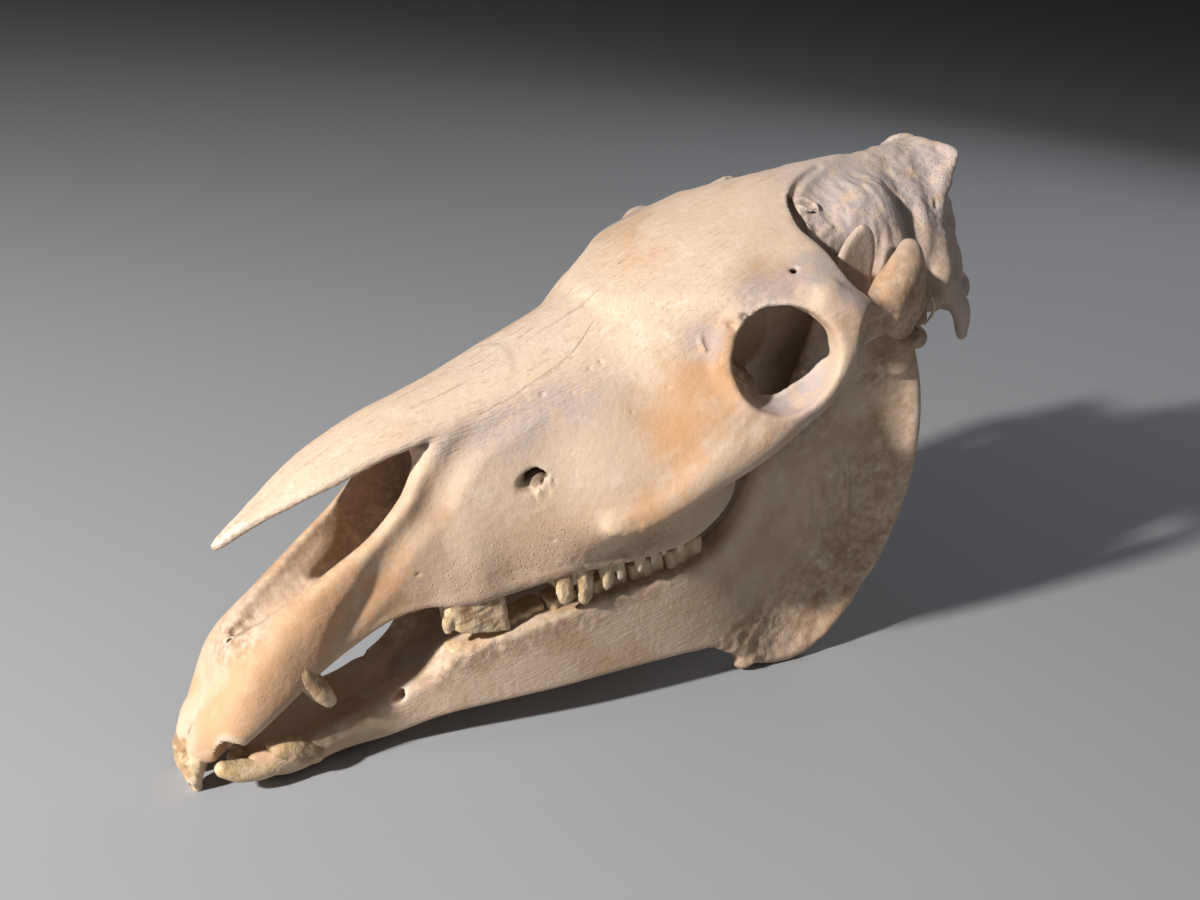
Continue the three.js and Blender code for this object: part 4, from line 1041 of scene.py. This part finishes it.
CREAM = (0.64, 0.475, 0.345, 1)
TAN = (0.55, 0.375, 0.245, 1)
PALE = (0.74, 0.61, 0.49, 1)
PEACH = (0.57, 0.32, 0.165, 1)
LILAC = (0.47, 0.39, 0.37, 1)
BROWN = (0.28, 0.16, 0.085, 1)
# painted shade for hollows, creases and gaps between parts
PAINTED_HOLLOW_SHADE = (0.085, 0.05, 0.03, 1)
# painted shade inside openings and recesses
PAINTED_INSIDE_SHADE = (0.15, 0.095, 0.06, 1)
CHALK = (0.82, 0.76, 0.66, 1)
DENTINE = (0.68, 0.51, 0.33, 1)
OLD_DENTINE = (0.56, 0.38, 0.20, 1)
ENAMEL = (0.74, 0.64, 0.50, 1)
BONE_BUMP = 0.0009  # metres
TOOTH_BUMP = 0.0004
NO_SEAM = 30.0  # a distance from any seam, mm


def bone_material(name, warmth):
    """Dry bone. `warmth` is the share of tan in its ground colour."""
    n = Nodes(name)
    broad = n.noise(48, 3)
    patch = n.noise(13, 4, 0.6, warp=0.6)
    mottle = n.noise(5, 4, 0.65)
    fine = n.noise(0.9, 2, 0.6)
    grain_place = n.stretched((0.055, 1, 1))
    streak = n.noise(1.3, 3, 0.6, grain_place)
    wide_streak = n.noise(5, 3, 0.6, grain_place)

    colour = n.mix(n.step(broad, 0.62 - warmth, 0.78 - warmth), CREAM, TAN)
    colour = n.mix(n.step(patch, 0.52, 0.72, 0.5), colour, PALE)
    colour = n.mix(n.step(mottle, 0.54, 0.74, 0.28), colour, TAN)
    peach = n.times(n.attribute("peach"), n.step(n.plus(patch, broad), 0.7, 1.15))
    colour = n.mix(peach, colour, PEACH)
    spots = n.times(n.step(n.noise(9, 3, 0.6), 0.66, 0.74, 0.7), n.step(mottle, 0.42, 0.6))
    colour = n.mix(spots, colour, PEACH)
    grey = n.times(n.attribute("grey"), n.step(n.plus(patch, n.times(mottle, 0.4)), 0.45, 0.76))
    colour = n.mix(grey, colour, LILAC)
    stain = n.times(n.attribute("stain"), n.step(n.plus(n.noise(14, 5, 0.62), mottle), 0.76, 1.22, 0.8))
    colour = n.mix(stain, colour, BROWN)

    fibre = n.attribute("fibre")
    dark_fibre = n.times(fibre, n.step(streak, 0.56, 0.72, 0.42))
    colour = n.mix(dark_fibre, colour, BROWN)
    band = n.times(fibre, n.step(wide_streak, 0.55, 0.7, 0.3))
    colour = n.mix(band, colour, PALE)

    pore_mask = n.plus(n.attribute("pores"), n.step(patch, 0.62, 0.78, 0.15))
    pore = n.times(n.step(n.cells(2.1), 0.30, 0.12), n.math("MINIMUM", pore_mask, 1.0))
    colour = n.mix(n.times(pore, n.step(mottle, 0.42, 0.66, 0.45)), colour, BROWN)
    wander = n.plus(n.attribute("suture"), n.times(n.plus(n.noise(7, 4, 0.7, grain_place), -0.5), 4.0))
    seam = n.step(n.math("ABSOLUTE", wander), 0.9, 0.1)
    colour = n.mix(n.times(seam, n.step(patch, 0.35, 0.6, 0.3)), colour, BROWN)

    # Painted shade: darker inside the openings and recesses listed under "deep".
    colour = n.mix(n.times(n.attribute("deep"), n.step(mottle, 0.2, 0.6)), colour, PAINTED_INSIDE_SHADE)
    # Painted shade: darker in hollows, creases and between parts, from how hollow the field is round each
    # vertex.
    hollow = n.attribute("hollow")
    colour = n.mix(n.step(n.plus(hollow, n.times(mottle, 0.25)), 0.42, 1.05, 0.8), colour, PAINTED_HOLLOW_SHADE)
    edge = n.step(n.plus(n.attribute("edge"), n.times(mottle, 0.4)), 0.72, 1.15, 0.55)
    colour = n.mix(edge, colour, PALE)
    chalk = n.times(n.attribute("chalk"), n.step(mottle, 0.42, 0.58))
    colour = n.mix(chalk, colour, CHALK)

    height = n.plus(n.times(fine, 0.08), n.times(mottle, 0.55))
    height = n.plus(height, n.times(n.times(streak, fibre), 0.7))
    height = n.plus(height, n.times(pore, -0.5))
    height = n.plus(height, n.times(seam, -0.4))
    roughness = n.plus(0.52, n.times(mottle, 0.3))
    return n.finish(colour, roughness, height, BONE_BUMP)


def tooth_material():
    """Worn enamel over yellow dentine, stained at the root."""
    n = Nodes("worn_tooth")
    patch = n.noise(7, 4, 0.6)
    fine = n.noise(1.2, 3, 0.6)
    ridge = n.noise(1.1, 3, 0.6, n.stretched((1, 1, 0.12)))
    colour = n.mix(n.step(patch, 0.4, 0.62), DENTINE, OLD_DENTINE)
    colour = n.mix(n.step(ridge, 0.56, 0.7, 0.45), colour, BROWN)
    colour = n.mix(n.times(n.attribute("root"), n.step(patch, 0.35, 0.6, 0.7)), colour, BROWN)
    worn = n.step(n.plus(n.attribute("edge"), n.times(patch, 0.3)), 0.55, 1.0, 0.7)
    colour = n.mix(worn, colour, ENAMEL)
    # Painted shade: darker in the tooth's hollows and creases.
    colour = n.mix(n.step(n.attribute("hollow"), 0.25, 0.8, 0.85), colour, PAINTED_HOLLOW_SHADE)
    roughness = n.plus(0.3, n.times(patch, 0.35))
    height = n.plus(n.times(ridge, 0.8), n.times(fine, 0.4))
    return n.finish(colour, roughness, height, TOOTH_BUMP)


# Tints of the skin, and under "deep" a painted shade inside its openings, the same on both sides: [x, y, z,
# three radii, strength].
TINT_PLACES = {
    "peach": [
        [228, 77, 107, 20, 20, 20, 1], [238, 76, 92, 24, 20, 26, 0.9], [252, 79, 68, 28, 22, 28, 0.9],
        [214, 99, 67, 34, 16, 18, 0.9], [272, 82, 40, 34, 16, 18, 0.7], [300, 74, 28, 20, 14, 14, 0.35],
        [155, 101, 125, 24, 14, 20, 0.8], [110, 94, 116, 34, 20, 26, 0.8], [526, 22, -10, 22, 18, 30, 0.7],
        [500, 28, 6, 26, 16, 22, 0.8], [442, 29, 30, 50, 14, 34, 0.8], [176, 77, 137, 18, 16, 12, 0.8],
        [330, 50, 22, 70, 24, 30, 0.5], [410, 30, 80, 30, 20, 30, 0.4], [228, 10, 148, 18, 14, 10, 0.5],
    ],
    "grey": [
        [188, 86, 76, 28, 20, 18, 1], [228, 66, 116, 12, 10, 12, 0.8], [189, 76, 135, 20, 14, 12, 0.8],
        [156, 78, 136, 20, 16, 12, 0.9], [146, 96, 126, 18, 14, 14, 0.9], [85, 34, 144, 54, 50, 40, 0.9],
        [24, 20, 130, 46, 60, 44, 0.9], [345, 44, 100, 66, 16, 16, 0.7], [0, 0, 80, 44, 80, 66, 0.7],
        [300, 0, 120, 60, 20, 14, 0.4],
    ],
    "stain": [
        [97, 60, -36, 36, 16, 40, 0.7], [112, 56, -80, 44, 16, 44, 0.8], [150, 54, -108, 50, 16, 36, 0.8],
        [205, 50, -116, 44, 16, 28, 0.8], [80, 60, 20, 22, 16, 60, 0.6], [100, 66, 46, 16, 10, 16, 1],
        [112, 92, 96, 44, 20, 34, 0.9], [500, 0, 22, 22, 22, 14, 1], [440, 14, 40, 60, 16, 30, 0.5],
        [400, 30, -36, 40, 20, 12, 0.8], [330, 46, -4, 80, 20, 9, 0.7], [300, 40, -34, 100, 20, 12, 0.7],
        [60, 56, 100, 40, 26, 36, 0.4], [520, 18, -32, 26, 14, 12, 0.7],
    ],
    "pores": [
        [325, 52, 12, 100, 24, 24, 1], [510, 20, 0, 44, 24, 26, 0.2], [24, 30, 130, 50, 60, 50, 0.8],
        [205, 50, -118, 60, 20, 26, 0.8], [110, 55, -110, 60, 20, 40, 0.7], [86, 38, 138, 50, 40, 30, 0.5],
        [380, 36, -36, 40, 16, 12, 0.4], [450, 10, 90, 60, 26, 20, 0.2],
    ],
    # deep: painted shade inside the eye sockets, nasal cavity, temporal openings, beside the palate, choanae
    # and foramina
    "deep": [
        [186, 62, 98, 34, 22, 34, 0.95], [132, 62, 118, 22, 20, 40, 0.6], [430, 0, 56, 90, 22, 26, 0.5],
        [330, 0, 60, 80, 30, 30, 0.9], [86, 74, 78, 26, 20, 20, 0.6], [172, 60, 50, 44, 24, 34, 0.7],
        [333, 43, 67, 10, 8, 6, 0.8], [230, 0, 20, 60, 40, 26, 0.5], [10, 0, 68, 34, 18, 20, 0.8],
    ],
    "chalk": [[494, 0, 84, 14, 10, 10, 0.5], [120, 90, 112, 10, 9, 8, 0.2]],
}
ROOF_SEAMS = [  # in plan, on the roof
    [[500, 0], [400, 0], [300, 0], [200, 0], [120, 0]],
    [[380, 8], [340, 10], [300, 7], [262, 9], [236, 8]],
    [[352, 30], [320, 33], [292, 30], [270, 22]],
]


def tint_masks(volume, points, quads):
    masks = relief(volume, points, quads)
    for name, places in TINT_PLACES.items():
        masks[name] = spread(points, places)
    return masks


def cranium_masks(volume, points, quads):
    masks = tint_masks(volume, points, quads)
    side = np.abs(points[:, 1])
    depth = roof_at(points[:, 0]) - 0.003 * side ** 2 - points[:, 2]
    masks["fibre"] = (1 - smoothstep(depth, 6, 34)) * smoothstep(points[:, 0], 140, 200)
    plan = np.column_stack([points[:, 0], side, np.zeros(len(points))])
    seams = np.full(len(points), NO_SEAM)
    for chain in ROOF_SEAMS:
        level = chain_distance([[x, y, 0] for x, y in chain], plan)
        seams = np.minimum(seams, level + 3 * np.maximum(depth - 12, 0))
    masks["suture"] = seams
    return masks


def jaw_masks(volume, points, quads):
    masks = tint_masks(volume, points, quads)
    masks["fibre"] = 0.6 * smoothstep(points[:, 0], 200, 260)
    masks["suture"] = np.full(len(points), NO_SEAM)
    return masks


# ------------------------------------------------------------------ the object

TOOTH = tooth_material()

skin = cranium_volume()
points, quads = largest_body(*skin.surface())
make_object("cranium", points, quads, bone_material("dry_bone", 0.10),
            ("face", "nasal_bones", "incisive_bone", "zygomatic_arch_left", "zygomatic_arch_right",
             "braincase"),
            cranium_masks(skin, points, quads))
skin = jaw_volume()
points, quads = largest_body(*skin.surface())
make_object("lower_jaw", points, quads, bone_material("stained_bone", 0.16),
            ("mandible_body", "mandible_ramus_left", "mandible_ramus_right"), jaw_masks(skin, points, quads))
for side, label in ((1, "left"), (-1, "right")):
    for number, (x_range, middle, z_range) in enumerate(UPPER_CHEEK_TEETH, FIRST_CHEEK_TOOTH):
        if number == LOST_TOOTH and side == 1:
            continue
        if number == FIRST_CHEEK_TOOTH:
            block = cheek_tooth(x_range, middle * side, z_range, UPPER_CHEEK_WIDTH, PREMOLAR_CROWN,
                                PREMOLAR_SLANT)
            extra, cuts = [tube(mirrored(PREMOLAR_LEDGE, side))], [tube(mirrored(PREMOLAR_CHIP, side))]
            grain, depth = (6, 4, 1), 0.55
        else:
            block = cheek_tooth(x_range, middle * side, z_range, RIBBED_WIDTH)
            extra, cuts = [rib(*row, side) for row in CHEEK_RIBS[number]], []
            grain, depth = (1, 1, 3), 0.6
        tooth_object(f"upper_cheek_tooth_{number}_{label}", block, TOOTH, 40 + number, extra, cuts, grain,
                     depth)
    for number, (x_range, middle, z_range) in enumerate(LOWER_CHEEK_TEETH, FIRST_CHEEK_TOOTH):
        block = cheek_tooth(x_range, middle * side, z_range, LOWER_CHEEK_WIDTH)
        tooth_object(f"lower_cheek_tooth_{number}_{label}", block, TOOTH, 50 + number, gum=-40)
    tooth_object(f"upper_canine_{label}", peg(UPPER_CANINE, side), TOOTH, 61,
                 cuts=[tube(mirrored(CANINE_CHIP, side))], gum=-6)
    tooth_object(f"upper_incisor_{label}", peg(UPPER_INCISOR, side), TOOTH, 62,
                 [tube(mirrored(INCISOR_COLLAR, side))], [tube(mirrored(INCISOR_SPLIT, side))], gum=-32)
    tooth_object(f"lower_canine_{label}", peg(LOWER_CANINE, side), TOOTH, 63, gum=-48)
    for number, stations in enumerate(LOWER_INCISORS, 1):
        tooth_object(f"lower_incisor_{number}_{label}", peg(stations, side), TOOTH, 64 + number,
                     grain=(4, 1, 1), gum=-70)

# ------------------------------------------------------------------ floor, light and camera

FLOOR_SIZE = 80  # metres
FLOOR_COLOUR = (0.36, 0.37, 0.39, 1)
LIGHT_DISTANCE = 2.4  # of the key and the back light, metres
BACK_FROM = Vector((-0.80, -0.30, 0.52)).normalized()
KEY_FROM = Vector((0.86, 0.13, 0.47)).normalized()
SUBJECT = Vector((0.0, 0.0, 0.14))
WARM, COOL = (1.0, 0.975, 0.94), (0.93, 0.96, 1.0)

bpy.ops.mesh.primitive_plane_add(size=FLOOR_SIZE, location=(0, 0, 0))
floor = bpy.context.object
floor.name = "floor"
floor_material = bpy.data.materials.new("pale_floor")
floor_material.use_nodes = True
floor_shader = floor_material.node_tree.nodes["Principled BSDF"]
floor_shader.inputs["Base Color"].default_value = FLOOR_COLOUR
floor_shader.inputs["Roughness"].default_value = 0.8
floor.data.materials.append(floor_material)

bpy.context.scene.view_settings.view_transform = "Standard"
world = bpy.data.worlds.new("studio")
bpy.context.scene.world = world
world.use_nodes = True
world.node_tree.nodes["Background"].inputs["Color"].default_value = (0.93, 0.96, 1.0, 1)
world.node_tree.nodes["Background"].inputs["Strength"].default_value = 0.03


def area_light(name, place, size, power, colour):
    """A square light `size` metres across that faces the skull; power is in watts."""
    data = bpy.data.lights.new(name, "AREA")
    data.size = size
    data.energy = power
    data.color = colour
    light = bpy.data.objects.new(name, data)
    light.location = place
    light.rotation_euler = (SUBJECT - place).to_track_quat("-Z", "Y").to_euler()
    bpy.context.collection.objects.link(light)


CAMERA_AT = np.array([[611.5, 606.6, 444.8]])  # skull frame, mm
CAMERA_RIGHT = [-0.82495, 0.55207, -0.12112]
CAMERA_DOWN = [0.37064, 0.36661, -0.85336]
CAMERA_LENS = 40.5  # mm
SENSOR_WIDTH = 36


def turned(direction):
    """A direction in the skull's frame, as one in the row's frame."""
    return Vector(leaned(np.array([direction]))[0]).normalized()


camera_data = bpy.data.cameras.new("camera")
camera_data.lens = CAMERA_LENS
camera_data.sensor_width = SENSOR_WIDTH
camera = bpy.data.objects.new("camera", camera_data)
right = turned(CAMERA_RIGHT)
up = -turned(CAMERA_DOWN)
back = right.cross(up).normalized()
up = back.cross(right).normalized()
view = Matrix((right, up, back)).transposed().to_4x4()
view.translation = Vector(to_row(CAMERA_AT)[0])
camera.matrix_world = view
bpy.context.collection.objects.link(camera)
bpy.context.scene.camera = camera

area_light("key", SUBJECT + LIGHT_DISTANCE * KEY_FROM, 0.12, 98, WARM)
area_light("fill", view.translation + right * 0.9 + up * 0.5, 1.8, 1.6, COOL)
area_light("back", SUBJECT + LIGHT_DISTANCE * BACK_FROM, 1.4, 9, (0.95, 0.97, 1.0))
